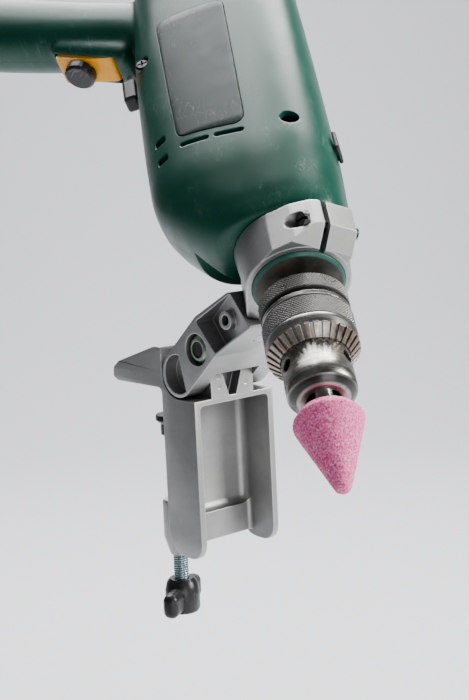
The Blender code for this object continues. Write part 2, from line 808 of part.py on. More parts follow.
def make_neck(frame):
    profile = [
        (7.2, 2.0),
        (20.2, 2.0),
        (NECK_RADIUS, 0.7),
        (NECK_RADIUS, -29.0),
        (18.5, -29.6),
        (18.5, -52.0),
        (16.6, -52.0),
        (16.6, -12.0),
        (11.0, -12.0),
        (11.0, -9.1),
        (13.1, -9.1),
        (13.1, -0.8),
        (7.2, -0.8),
    ]
    neck = turned(profile, steps=FINE, closed=True)
    cut(neck, rod(5.2, (MOTOR_OFFSET, 0, -60), (0, 0, 1), 30, sides=20))
    return finish(neck, "neck_housing", frame, GREEN)


def ring(outer, inner, low, high, x=0.0, steps=COARSE):
    profile = [(inner, high), (outer, high), (outer, low), (inner, low)]
    return turned(profile, (x, 0, 0), (0, 0, 1), steps, True)


def bearing_wall(low, high, reach):
    outline = rectangle((-reach[0], reach[1]), (-reach[2], reach[2]), 10.0, 4)
    return prism(outline, low, high)


def make_gearbox(frame):
    plate = bearing_wall(-58.0, -53.0, (20.0, 42.0, 21.5))
    cut(
        plate,
        rod(4.6, (0, 0, -70), (0, 0, 1), 30, sides=20),
        rod(8.1, (MOTOR_OFFSET, 0, -70), (0, 0, 1), 30, sides=20),
    )
    finish(plate, "bearing_plate", frame, CAST)
    bracket = bearing_wall(-199.0, -193.0, (14.0, 42.0, 23.0))
    cut(bracket, rod(8.1, (MOTOR_OFFSET, 0, -210), (0, 0, 1), 30, sides=20))
    finish(bracket, "rear_bearing_bracket", frame, BLACK_PLASTIC)
    finish(ring(13.0, 6.1, -8.8, -1.2, 0.0, ROUND), "spindle_bearing", frame, STEEL)
    finish(ring(8.0, SHAFT_HOLE, -58.0, -53.0, MOTOR_OFFSET), "armature_front_bearing", frame, STEEL)
    finish(ring(8.0, SHAFT_HOLE, -199.0, -193.0, MOTOR_OFFSET), "armature_rear_bearing", frame, STEEL)


def make_motor(frame):
    stator = prism(rectangle((-4.5, 44.5), (-25.5, 25.5), 12.0, 4), -152.0, -98.0)
    cut(stator, rod(18.3, (MOTOR_OFFSET, 0, -160), (0, 0, 1), 70, sides=ROUND))
    finish(stator, "field_stator", frame, STEEL)
    for name, side in (("brush_right", -1), ("brush_left", 1)):
        reach = sorted((side * 10.4, side * 20.0))
        brush = box((MOTOR_OFFSET - 3, MOTOR_OFFSET + 3), reach, (-169.0, -161.0))
        finish(brush, name, frame, CARBON)


def make_armature(frame):
    origin = (MOTOR_OFFSET, 0, 0)
    profile = [(0, -36.5), (3.3, -36.5), (3.8, -37.0), (3.8, -49.5), (3.0, -50.0)]
    profile += [(3.0, -203.0), (0, -203.0)]
    finish(turned(profile, origin, (0, 0, 1), 24), "armature_shaft", frame, STEEL, origin)
    core = ring(17.8, SHAFT_HOLE, -149.0, -101.0, MOTOR_OFFSET)
    finish(core, "armature_core", frame, STEEL, origin)
    commutator = ring(10.0, SHAFT_HOLE, -172.0, -158.0, MOTOR_OFFSET)
    finish(commutator, "commutator", frame, COPPER, origin)
    fan = ring(22.5, SHAFT_HOLE, -70.0, -68.0, MOTOR_OFFSET)
    join(fan, ring(6.0, SHAFT_HOLE, -77.0, -69.0, MOTOR_OFFSET, 24))
    for index in range(6):
        blade = box((7.0, 21.5), (-0.8, 0.8), (-76.0, -69.5))
        blade.data.transform(Matrix.Rotation(math.radians(60 * index), 4, "Z"))
        blade.data.transform(Matrix.Translation((MOTOR_OFFSET * MM, 0, 0)))
        join(fan, blade)
    finish(fan, "cooling_fan", frame, ACETAL, origin)


def make_spindle(frame):
    profile = [
        (0, 25.6),
        (6.0, 25.6),
        (6.5, 25.0),
        (6.5, 9.7),
        (9.0, 9.7),
        (9.0, 2.4),
        (6.0, 2.3),
        (6.0, -50.0),
        (4.5, -50.4),
        (4.5, -57.0),
        (0, -57.0),
    ]
    finish(turned(profile), "spindle", frame, STEEL)
    finish(ring(15.85, 6.1, -48.5, -38.0, 0.0, ROUND), "spindle_gear", frame, STEEL)


JAW_ANGLES = (258.0, 18.0, 138.0)
JAW_TIP = 74.0
JAW_TILT = math.radians(12.0)
JAW_RADIUS = 3.8
JAW_REACH = 4.6


def jaw_line(index):
    """Tip point and direction, tip to tail, of a jaw's bore."""
    angle = math.radians(JAW_ANGLES[index])
    outward = Vector((math.cos(angle), math.sin(angle), 0.0))
    tip = outward * JAW_REACH + Vector((0, 0, JAW_TIP))
    direction = outward * math.sin(JAW_TILT) - Vector((0, 0, math.cos(JAW_TILT)))
    return tip, direction


def key_hole(index):
    angle = math.radians(JAW_ANGLES[index] + 60.0)
    outward = Vector((math.cos(angle), math.sin(angle), 0.0))
    return rod(3.1, outward * 11.5 + Vector((0, 0, 52.5)), outward, 8.0, sides=14)


def make_chuck(frame):
    profile = [
        (0, 30.0),
        (7.1, 30.0),
        (7.1, 68.6),
        (7.6, 69.2),
        (10.6, 69.2),
        (15.4, 65.4),
        (15.4, 25.0),
        (20.3, 24.6),
        (20.3, 22.4),
        (18.8, 22.1),
        (18.8, 20.2),
        (20.5, 19.7),
        (20.5, 12.4),
        (19.6, 11.4),
        (12.0, 10.0),
        (6.6, 10.0),
        (6.6, 26.0),
        (0, 26.0),
    ]
    body = turned(profile, steps=FINE)
    for index in range(3):
        tip, direction = jaw_line(index)
        cut(body, rod(JAW_RADIUS + 0.08, tip - direction * 10, direction, 41.5, sides=20), key_hole(index))
    finish(body, "chuck_body", frame, STEEL)
    profile = [
        (15.53, 46.6),
        (16.2, 46.6),
        (20.6, 42.2),
        (20.0, 41.4),
        (20.9, 36.6),
        (20.8, 36.0),
        (20.8, 25.6),
        (20.4, 25.2),
        (15.53, 25.2),
    ]
    finish(turned(profile, steps=FINE, closed=True), "chuck_sleeve", frame, STEEL)


def make_jaw(index, frame):
    tip, direction = jaw_line(index)
    jaw = rod(JAW_RADIUS, tip - direction * 3, direction, 28.0, sides=20)
    cut(
        jaw,
        rod(3.05, (0, 0, 30), (0, 0, 1), 60, sides=20),
        box((-20, 20), (-20, 20), (JAW_TIP, 90)),
    )
    return finish(jaw, f"chuck_jaw_{index + 1}", frame, STEEL, tip)


def make_stone(frame):
    finish(rod(3.0, (0, 0, 38), (0, 0, 1), 40, sides=20), "stone_shank", frame, STEEL)
    slope = math.radians(19.2)
    outer = 15.4
    profile = arc((0.0, 113.0), 4.0, 90.0, math.degrees(slope), 4)
    edge = profile[-1]
    shoulder = edge[1] - (outer - 0.5 - edge[0]) / math.tan(slope)
    profile += [(outer - 0.3, shoulder), (outer, shoulder - 1.5), (14.6, shoulder - 4.0)]
    profile += [(12.2, 76.6), (9.6, 75.0), (3.06, 75.0), (3.06, 80.0), (0, 80.0)]
    return finish(turned(profile, steps=28), "grinding_stone", frame, STONE)


def make_controls(frame):
    grip = empty("grip_frame", GRIP_CENTRE, (GRIP_FRONT, Vector((0, 1, 0)), GRIP_UP), frame)
    outline = [(8.0, 1.0, 1.0), (24.2, 1.0, 2.5), (19.4, 35.5, 2.5), (8.0, 35.5, 1.0)]
    trigger = soften(prism(rounded(outline), -8.5, 8.5, "XZ"), 0.8, 2)
    base = Vector((22.25, 0.0, 15.2))
    face = Vector((0.990, 0.0, 0.138)).normalized()
    cut(trigger, rod(3.0, base - face * 6, face, 12, sides=20))
    finish(trigger, "trigger", grip, ORANGE, (8.0, 0, 18.0))
    profile = [(0, 6.0), (7.4, 6.0), (8.7, 4.8), (8.7, 0.8), (2.9, 0.3), (2.9, -4.0), (0, -4.0)]
    wheel = turned(profile, base, face, 24)
    for index in range(3):
        angle = math.radians(120 * index)
        spot = Vector((0, math.cos(angle), math.sin(angle))) * 9.3
        cut(wheel, rod(1.3, base + spot - face * 1.0, face, 9, sides=12))
    finish(wheel, "speed_wheel", grip, BLACK_PLASTIC, base)
    switch = box((-17.0, 1.7), (-8.0, 8.0), (-4.0, 34.0))
    finish(soften(switch, 1.0, 2), "switch_body", grip, BLACK_PLASTIC)
    profile = [(3.0, -84.0), (7.2, -84.0), (7.2, -87.6), (5.0, -88.0), (5.0, -92.2), (7.4, -92.4)]
    profile += [(6.0, -100.0), (3.0, -100.0)]
    inlet = turned(profile, (-4.0, 0, 0), (0, 0, 1), 24, True)
    finish(inlet, "cable_inlet", grip, BLACK_PLASTIC)
    lever = soften(box((62.0, 69.5), (-5.0, 5.0), (-176.5, -160.0)), 1.6, 2)
    join(lever, box((62.4, 66.5), (-2.2, 2.2), (-182.0, -170.0)))
    join(lever, rod(2.0, (50.0, 0, -175.0), (1, 0, 0), 14.0, sides=16))
    finish(lever, "reversing_lever", frame, BLACK_PLASTIC, (62.0, 0, -175.0))
    selector = soften(box((-33.9, -31.8), (-11.0, 1.0), (-81.0, -69.0)), 0.9, 2)
    join(selector, box((-33.0, -25.0), (-3.0, 1.0), (-78.0, -72.0)))
    finish(selector, "mode_selector", frame, BLACK_PLASTIC, (-32.0, 0, -75.0))


def make_drill(frame):
    make_housing(frame)
    make_housing_screws(frame)
    make_neck(frame)
    make_side_panel("side_panel_right", -1, frame)
    make_side_panel("side_panel_left", 1, frame)
    make_gearbox(frame)
    make_motor(frame)
    make_armature(frame)
    make_spindle(frame)
    make_chuck(frame)
    for index in range(3):
        make_jaw(index, frame)
    make_stone(frame)
    make_controls(frame)


def drill_axes():
    """Toward the handle, to the left side, along the chuck."""
    across = DRILL_AXIS.cross(SWIVEL_AXIS)
    handle = SWIVEL_AXIS * math.sin(HANDLE_TURN) - across * math.cos(HANDLE_TURN)
    return handle, DRILL_AXIS.cross(handle), DRILL_AXIS


def main():
    clear_scene()
    clamp = empty("clamp_frame_origin", (0, 0, 0), WORLD_AXES)
    hinge = empty("tilt_hinge", HINGE, WORLD_AXES)
    swivel_origin = NECK_CENTRE - DRILL_AXIS * SWIVEL_BACK
    across = DRILL_AXIS.cross(SWIVEL_AXIS)
    swivel = empty("swivel", swivel_origin, (SWIVEL_AXIS, across, DRILL_AXIS))
    drill = empty("drill_axis", NECK_CENTRE, drill_axes())
    make_clamp_frame(clamp)
    make_hinge_pin(hinge)
    make_pressure_pad(clamp)
    make_clamp_screw(clamp)
    make_wing_knob(clamp)
    make_tilt_arm(hinge)
    make_pinch_parts(hinge)
    make_swivel_lock_screw(hinge)
    make_collar(swivel)
    make_collar_screw(swivel)
    make_drill(drill)


main()
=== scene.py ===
"""Look of the clamp-on drill grinding rig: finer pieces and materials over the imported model."""

import math

import bmesh
import bpy
import numpy as np
from mathutils import Matrix, Vector, noise


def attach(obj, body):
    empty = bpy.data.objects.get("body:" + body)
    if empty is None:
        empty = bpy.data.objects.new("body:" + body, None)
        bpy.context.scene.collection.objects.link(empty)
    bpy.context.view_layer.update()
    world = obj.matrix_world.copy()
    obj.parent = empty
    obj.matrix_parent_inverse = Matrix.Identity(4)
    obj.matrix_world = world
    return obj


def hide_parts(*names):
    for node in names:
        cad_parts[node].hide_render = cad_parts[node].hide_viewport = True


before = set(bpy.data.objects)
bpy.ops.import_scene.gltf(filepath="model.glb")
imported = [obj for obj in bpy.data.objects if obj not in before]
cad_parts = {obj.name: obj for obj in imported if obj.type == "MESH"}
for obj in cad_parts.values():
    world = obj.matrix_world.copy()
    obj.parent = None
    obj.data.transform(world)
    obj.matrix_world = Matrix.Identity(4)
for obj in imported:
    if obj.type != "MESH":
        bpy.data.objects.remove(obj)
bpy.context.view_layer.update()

MM = 0.001
ROUND = 48
FINE = 96
GAP = 0.3

# Clamp frame
FRAME_LEFT = -25.5
FRAME_RIGHT = 25.5
LEG_FRONT = -50.8
LEG_REAR = -25.2
LEG_BOTTOM = -85.0
SEAT_FLOOR = -4.6
SEAT_RADIUS = 12.7
WALL_TOP = 20.7
FLANGE = 3.3
BOSS_TOP = -66.0
BOSS_END = -96.0
SCREW_RADIUS = 4.0
SCREW_HOLE = 4.08
THREAD_PITCH = 1.25
BOARD_THICKNESS = 20.3

# Tilt hinge
HINGE = Vector((0.0, -38.5, 8.1))
KNUCKLE_RADIUS = 12.3
KNUCKLE_LEFT = -14.6
KNUCKLE_RIGHT = 12.6
PIN_HOLE = 4.06
LOBE_RADIUS = 11.5
FORK_LEFT = -15.0
FORK_RIGHT = 13.0
ARM_RIGHT = 24.5

# Drill axis, collar and swivel
NECK_CENTRE = Vector((-12.45, -114.73, 55.33))
DRILL_AXIS = Vector((-0.4281, -0.6466, -0.6314)).normalized()
SWIVEL_SLOPE = Vector((0.0, 0.6987, -0.7155))
SWIVEL_AXIS = (SWIVEL_SLOPE - DRILL_AXIS * SWIVEL_SLOPE.dot(DRILL_AXIS)).normalized()
COLLAR_LENGTH = 23.0
SWIVEL_BACK = 11.5
NECK_RADIUS = 21.5
COLLAR_BORE = 21.65
FOOT_END = 27.15
ARM_FACE = 27.45
SPIGOT_RADIUS = 6.5
SPIGOT_HOLE = 6.6
SPIGOT_LENGTH = 17.5
CLAMP_E = -26.8
CLAMP_K = -0.5
HANDLE_TURN = math.radians(41.84)

# Casing and chuck
WALL = 4.0
JAW_ANGLES = (258.0, 18.0, 138.0)
JAW_TILT = math.radians(12.0)
SLEEVE_TEETH = 32


# Basic shapes


def add(mesh, name="shape"):
    obj = bpy.data.objects.new(name, mesh)
    bpy.context.scene.collection.objects.link(obj)
    return obj


def bake(obj, outward=False):
    """Replace the object's mesh by its evaluated one, tidied."""
    graph = bpy.context.evaluated_depsgraph_get()
    mesh = bpy.data.meshes.new_from_object(obj.evaluated_get(graph))
    work = bmesh.new()
    work.from_mesh(mesh)
    bmesh.ops.remove_doubles(work, verts=work.verts, dist=1e-7)
    bmesh.ops.dissolve_degenerate(work, edges=work.edges, dist=1e-7)
    if outward:
        bmesh.ops.recalc_face_normals(work, faces=work.faces)
    work.to_mesh(mesh)
    work.free()
    obj.modifiers.clear()
    obj.data = mesh
    return obj


def solid_of(work):
    mesh = bpy.data.meshes.new("shape")
    bmesh.ops.recalc_face_normals(work, faces=work.faces)
    work.to_mesh(mesh)
    work.free()
    mesh.transform(Matrix.Scale(MM, 4))
    return add(mesh)


def box(x, y, z):
    """A block between two limits on each axis."""
    size = Matrix.Diagonal((x[1] - x[0], y[1] - y[0], z[1] - z[0], 1.0))
    centre = Matrix.Translation(((x[0] + x[1]) / 2, (y[0] + y[1]) / 2, (z[0] + z[1]) / 2))
    work = bmesh.new()
    bmesh.ops.create_cube(work, size=1.0, matrix=centre @ size)
    return solid_of(work)


def pointing(direction, origin):
    """Matrix that takes +Z to a direction and the zero point to an origin."""
    turn = Vector(direction).to_track_quat("Z", "Y").to_matrix().to_4x4()
    return Matrix.Translation(Vector(origin)) @ turn


def rod(radius, start, direction, length, end_radius=None, sides=ROUND):
    """A cylinder or cone from its start along a direction."""
    end = radius if end_radius is None else end_radius
    work = bmesh.new()
    matrix = pointing(direction, start) @ Matrix.Translation((0, 0, length / 2))
    bmesh.ops.create_cone(
        work, cap_ends=True, segments=sides, radius1=radius, radius2=end, depth=length, matrix=matrix
    )
    return solid_of(work)


def turned(profile, start=(0, 0, 0), direction=(0, 0, 1), steps=ROUND, closed=False):
    """A profile of (radius, height) pairs, from the top down its outer side, spun about the axis."""
    work = bmesh.new()
    points = [work.verts.new((radius * MM, 0.0, height * MM)) for radius, height in profile]
    pairs = list(zip(points, points[1:]))
    if closed:
        pairs.append((points[-1], points[0]))
    for pair in pairs:
        work.edges.new(pair)
    mesh = bpy.data.meshes.new("shape")
    work.to_mesh(mesh)
    work.free()
    obj = add(mesh)
    spin = obj.modifiers.new("Spin", "SCREW")
    spin.steps = steps
    spin.render_steps = steps
    spin.use_merge_vertices = True
    spin.merge_threshold = 1e-5
    spin.use_normal_calculate = True
    bake(obj, True)
    place = pointing(direction, start)
    place.translation = place.translation * MM
    obj.data.transform(place)
    return obj


def axes_matrix(origin, columns):
    """Matrix from its three columns and an origin in millimetres."""
    matrix = Matrix.Identity(4)
    for index, column in enumerate(columns):
        for row in range(3):
            matrix[row][index] = column[row]
    matrix.translation = Vector(origin) * MM
    return matrix


PLANES = {
    "XY": Matrix(((1, 0, 0, 0), (0, 1, 0, 0), (0, 0, 1, 0), (0, 0, 0, 1))),
    "XZ": Matrix(((1, 0, 0, 0), (0, 0, -1, 0), (0, 1, 0, 0), (0, 0, 0, 1))),
    "YZ": Matrix(((0, 0, 1, 0), (1, 0, 0, 0), (0, 1, 0, 0), (0, 0, 0, 1))),
}


def prism(points, low, high, plane="XY"):
    """A flat outline filled and extruded between two limits on the plane's normal."""
    curve = bpy.data.curves.new("outline", "CURVE")
    curve.dimensions = "2D"
    curve.fill_mode = "BOTH"
    curve.extrude = (high - low) * MM / 2
    spline = curve.splines.new("POLY")
    spline.points.add(len(points) - 1)
    for point, (across, up) in zip(spline.points, points):
        point.co = (across * MM, up * MM, 0.0, 1.0)
    spline.use_cyclic_u = True
    guide = bpy.data.objects.new("outline", curve)
    bpy.context.scene.collection.objects.link(guide)
    graph = bpy.context.evaluated_depsgraph_get()
    obj = add(bpy.data.meshes.new_from_object(guide.evaluated_get(graph)))
    bpy.data.objects.remove(guide)
    bake(obj, True)
    middle = (low + high) / 2 * (-1 if plane == "XZ" else 1)
    obj.data.transform(PLANES[plane] @ Matrix.Translation((0, 0, middle * MM)))
    return obj


def arc(centre, radius, start, end, count):
    """Points on a circle between two angles in degrees."""
    points = []
    for step in range(count + 1):
        angle = math.radians(start + (end - start) * step / count)
        points.append((centre[0] + radius * math.cos(angle), centre[1] + radius * math.sin(angle)))
    return points


def rounded(corners, pieces=4):
    """An outline whose corners (across, up, radius) are rounded."""
    points = []
    for index, (across, up, radius) in enumerate(corners):
        here = Vector((across, up))
        if radius == 0:
            points.append((across, up))
            continue
        before = (Vector(corners[index - 1][:2]) - here).normalized()
        after = (Vector(corners[(index + 1) % len(corners)][:2]) - here).normalized()
        half = math.acos(max(-1.0, min(1.0, before.dot(after)))) / 2
        centre = here + (before + after).normalized() * (radius / math.sin(half))
        reach = radius / math.tan(half)
        first = here + before * reach - centre
        last = here + after * reach - centre
        sweep = first.angle_signed(last)
        for step in range(pieces + 1):
            turn = Matrix.Rotation(-sweep * step / pieces, 2)
            points.append(tuple(centre + turn @ first))
    return points


def rectangle(x, y, radius=0.0, pieces=3):
    corners = [(x[0], y[0]), (x[1], y[0]), (x[1], y[1]), (x[0], y[1])]
    return rounded([(across, up, radius) for across, up in corners], pieces)


def regular(sides, radius, centre=(0.0, 0.0), turn=0.0):
    return arc(centre, radius, turn, turn + 360.0 * (sides - 1) / sides, sides - 1)


def soften(obj, width, segments=2, angle=40.0):
    """Round the sharp edges."""
    edge = obj.modifiers.new("Soften", "BEVEL")
    edge.width = width * MM
    edge.segments = segments
    edge.limit_method = "ANGLE"
    edge.angle_limit = math.radians(angle)
    return bake(obj)


def combine(obj, tools, operation):
    for tool in tools:
        step = obj.modifiers.new("Combine", "BOOLEAN")
        step.operation = operation
        step.solver = "EXACT"
        step.object = tool
        bake(obj)
        bpy.data.objects.remove(tool)
    return obj


def join(obj, *tools):
    return combine(obj, tools, "UNION")


def cut(obj, *tools):
    return combine(obj, tools, "DIFFERENCE")


def keep(obj, *tools):
    return combine(obj, tools, "INTERSECT")


def twin(obj):
    return add(obj.data.copy())


def join_loose(obj, *others):
    """Put separate shells in one piece."""
    work = bmesh.new()
    work.from_mesh(obj.data)
    for other in others:
        work.from_mesh(other.data)
        bpy.data.objects.remove(other)
    work.to_mesh(obj.data)
    work.free()
    return obj


def section(centre, half, count, power):
    """Points of a rounded rectangle between an ellipse and a square."""
    points = []
    for step in range(count):
        angle = 2 * math.pi * (step + 0.5) / count
        across = math.copysign(abs(math.cos(angle)) ** (2 / power), math.cos(angle))
        up = math.copysign(abs(math.sin(angle)) ** (2 / power), math.sin(angle))
        points.append((centre + half[0] * across, half[1] * up))
    return points


def loft(stations, shrink=0.0, count=24, power=2.7):
    """A body through rounded sections: stations of (z, x low, x high, y half)."""
    work = bmesh.new()
    rings = []
    for height, low, high, half in stations:
        size = ((high - low) / 2 - shrink, half - shrink)
        ring = [
            work.verts.new((x, y, height))
            for x, y in section((low + high) / 2, size, count, power)
        ]
        rings.append(ring)
    for ring in rings:
        for index in range(count):
            work.edges.new((ring[index - 1], ring[index]))
    for below, above in zip(rings, rings[1:]):
        edges = [
            edge
            for edge in work.edges
            if all(vert in below for vert in edge.verts) or all(vert in above for vert in edge.verts)
        ]
        bmesh.ops.bridge_loops(work, edges=edges)
    bmesh.ops.contextual_create(work, geom=rings[0])
    bmesh.ops.contextual_create(work, geom=rings[-1])
    return solid_of(work)


# Clamp frame


def frame_outline():
    """Side outline of the casting, as (y, z)."""
    pivot = (HINGE.y, HINGE.z)
    corners = [
        (LEG_FRONT, LEG_BOTTOM, 8.0),
        (LEG_FRONT, SEAT_FLOOR, 0.0),
    ]
    seat = arc(pivot, SEAT_RADIUS, -90.0, 0.0, 9)
    corners += [(y, z, 0.0) for y, z in seat]
    corners += [
        (-25.8, WALL_TOP, 1.5),
        (-19.5, 20.2, 3.0),
        (9.9, 10.3, 3.0),
        (14.6, 6.8, 2.0),
        (14.9, 1.7, 1.0),
        (11.0, 0.0, 0.0),
        (LEG_REAR, 0.0, 3.0),
        (LEG_REAR, LEG_BOTTOM, 12.0),
    ]
    return rounded(corners)


def front_channel():
    """The hollow of the leg, open to the front and below: its mouth, its deeper upper part, its foot."""
    inner = FRAME_RIGHT - FLANGE
    top = SEAT_FLOOR - 2.6
    mouth = soften(box((-inner, inner), (-62.0, -33.0), (-96.0, top)), 2.4, 4)
    deep = soften(box((-inner + 0.05, inner - 0.05), (-45.0, -29.0), (-67.0, top - 0.05)), 4.5, 3)
    foot = box((-inner + 0.1, inner - 0.1), (-61.0, -15.0), (-95.0, -81.5))
    return mouth, deep, foot


def knuckles():
    """The two hinge lugs of the frame as one block, before the notch between them."""
    pivot = (HINGE.y, HINGE.z)
    outline = [(LEG_FRONT, -6.0)]
    outline += arc(pivot, KNUCKLE_RADIUS, 180.0, 0.0, 16)
    outline += [(-24.8, HINGE.z), (-24.8, -6.0)]
    return prism(outline, KNUCKLE_LEFT, KNUCKLE_RIGHT, "YZ")


def knuckle_notch():
    outline = [(-3.3, -4.3), (1.3, -4.3), (10.1, 22.0), (-12.1, 22.0)]
    return prism(outline, -53.0, -44.8, "XZ")


def jaw_pocket(left, right):
    return soften(box((left, right), (-16.5, 8.5), (4.5, 30.0)), 2.0, 2)


def lower_arm():
    bar = soften(box((-8.0, 8.0), (-29.5, 0.0), (-83.0, -67.0)), 2.0, 2)
    profile = [(0, BOSS_TOP), (7.0, BOSS_TOP), (7.8, -67.0), (8.0, -86.0), (5.0, BOSS_END), (0, BOSS_END)]
    return join(bar, turned(profile))


BAR = Vector((-0.743, 0.669)).normalized()
BAR_TOP = Vector((BAR.y, -BAR.x))
UPPER = Vector((-0.858, 0.513)).normalized()
UPPER_TOP = Vector((UPPER.y, -UPPER.x))


def bar_point(along, across):
    """A side-view point from its place along the lower bar and across it."""
    return tuple(BAR * along + BAR_TOP * across)


def face_offset():
    """The middle of the arm's end face, from the hinge."""
    return NECK_CENTRE - DRILL_AXIS * SWIVEL_BACK + SWIVEL_AXIS * ARM_FACE - HINGE


def arm_outline():
    end = face_offset()
    across = Vector((-SWIVEL_AXIS.z, SWIVEL_AXIS.y)).normalized()
    middle = Vector((end.y, end.z))
    top = middle + across * 12.0
    low = middle - across * 10.1
    start = math.degrees(math.atan2(8.6, 7.6))
    lobe = arc((0.0, 0.0), LOBE_RADIUS, start, start - 180.7, 16)
    corners = [(top.x, top.y, 1.0), (-16.0, 29.9, 6.0)]
    corners += [(y, z, 0.0) for y, z in lobe]
    corners += [(-29.2, 11.3, 3.0), (low.x, low.y, 1.0)]
    return rounded(corners)


def fork_slot():
    """Room for the frame's lugs between the two lobes."""
    outline = [
        bar_point(-20, -20),
        bar_point(13.3, -20),
        bar_point(13.3, -9.0),
        bar_point(30, -9.0),
        bar_point(30, 22),
        bar_point(-20, 22),
    ]
    return prism(outline, FORK_LEFT, FORK_RIGHT, "YZ")


def lobe_pocket():
    """The flat-sided recess in the left face round the hinge."""
    circle = arc((0.0, 0.0), LOBE_RADIUS - 1.6, 100.0, -130.0, 20)
    return prism(circle, FRAME_LEFT - 3.0, FRAME_LEFT + 7.5, "YZ")


def upper_pocket():
    """The recess in the left face of the upper block, its floor rising to the end face."""
    end = face_offset()
    across = Vector((-SWIVEL_AXIS.z, SWIVEL_AXIS.y)).normalized()
    middle = Vector((end.y, end.z))
    top = middle + across * 10.7
    low = middle - across * 8.8
    outline = rounded([(-16.2, 27.6, 1.0), (top.x, top.y, 0.0), (low.x, low.y, 0.0), (-30.0, 13.2, 1.0)])
    cutter = prism(outline, -40.0, FRAME_LEFT + 10.0, "YZ")
    deepest = Vector((-23.1, 20.4))
    slope = 10.0 / (middle - deepest).length
    direction = (middle - deepest).normalized()
    shear = Matrix.Identity(4)
    shear[0][1] = -slope * direction.x
    shear[0][2] = -slope * direction.y
    start = Vector((0.0, *deepest)) * MM
    cutter.data.transform(Matrix.Translation(start) @ shear @ Matrix.Translation(-start))
    return cutter


def right_relief():
    """The step on the right side where the upper block is narrower than the fork."""
    outline = [(30.0, 27.0), (30.0, 24.6), (45.0, 10.0), (90.0, 10.0), (90.0, 27.0)]
    cutter = prism(outline, -40.0, 40.0, "XY")
    columns = ((0.0, UPPER.x, UPPER.y), (1.0, 0.0, 0.0), (0.0, UPPER_TOP.x, UPPER_TOP.y))
    cutter.data.transform(axes_matrix((0, 0, 0), columns))
    return bake(cutter, True)


LOCK_SCREW = (-38.5, 29.8)
PINCH = bar_point(20.7, -0.3)


BODY = [
    (-252.0, -10.0, 34.0, 15.0), (-247.0, -22.0, 46.0, 24.0),
    (-235.0, -30.0, 54.0, 31.0), (-200.0, -31.0, 58.0, 32.0),
    (-155.0, -31.5, 61.0, 32.5), (-70.0, -31.5, 61.0, 32.5),
    (-58.0, -31.0, 58.5, 32.0), (-48.0, -30.5, 53.5, 31.0),
    (-38.0, -30.0, 46.5, 30.0), (-30.0, -29.5, 39.5, 28.5),
    (-24.0, -28.0, 33.0, 27.0),
]
GRIP = [
    (-92.0, -16.0, 14.0, 12.0), (-88.0, -22.0, 19.0, 16.5),
    (-60.0, -23.0, 19.5, 18.0), (-20.0, -23.0, 17.5, 17.5),
    (0.0, -23.5, 15.5, 17.0), (36.0, -24.0, 12.0, 17.0),
    (62.0, -24.0, 14.0, 16.0),
]
GRIP_CENTRE = Vector((93.0, 0.0, -229.0))
GRIP_FRONT = Vector((0.522, 0.0, 0.853)).normalized()
GRIP_UP = Vector((-0.853, 0.0, 0.522)).normalized()


def in_grip(obj):
    obj.data.transform(axes_matrix(GRIP_CENTRE, (GRIP_FRONT, (0, 1, 0), GRIP_UP)))
    return obj


def between(stations, height):
    """The section at a height, from the stations below and above it."""
    for below, above in zip(stations, stations[1:]):
        if below[0] <= height <= above[0]:
            part = (height - below[0]) / (above[0] - below[0])
            return (height, *(low + (high - low) * part for low, high in zip(below[1:], above[1:])))
    raise ValueError("height outside the stations")


def hollow(stations, shrink, front):
    """The stations of a housing's inside, ended short of both ends."""
    low = stations[0][0] + shrink
    high = stations[-1][0] - front
    inside = [station for station in stations if low + 1.0 < station[0] < high - 1.0]
    return [between(stations, low), *inside, between(stations, high)]


PANEL = ((41.0, -180.0), (4.0, -180.0), (5.0, -81.5), (38.5, -87.0))
SCREWS = ((-15.6, -80.0), (52.5, -159.5), (-20.0, -222.0), (139.0, -256.0))


def panel_outline(extra):
    middle = Vector((22.0, -133.0))
    corners = []
    for across, along in PANEL:
        across += math.copysign(extra, across - middle.x)
        along += math.copysign(extra, along - middle.y)
        corners.append((across, along, 5.0 + extra))
    return rounded(corners, 4)


# Frames of the moving groups


ACROSS = DRILL_AXIS.cross(SWIVEL_AXIS)
TOWARD_HANDLE = SWIVEL_AXIS * math.sin(HANDLE_TURN) - ACROSS * math.cos(HANDLE_TURN)
AT_CLAMP = Matrix.Identity(4)
AT_HINGE = Matrix.Translation(HINGE * MM)
AT_SWIVEL = axes_matrix(NECK_CENTRE - DRILL_AXIS * SWIVEL_BACK, (SWIVEL_AXIS, ACROSS, DRILL_AXIS))
AT_DRILL = axes_matrix(NECK_CENTRE, (TOWARD_HANDLE, DRILL_AXIS.cross(TOWARD_HANDLE), DRILL_AXIS))


# Materials


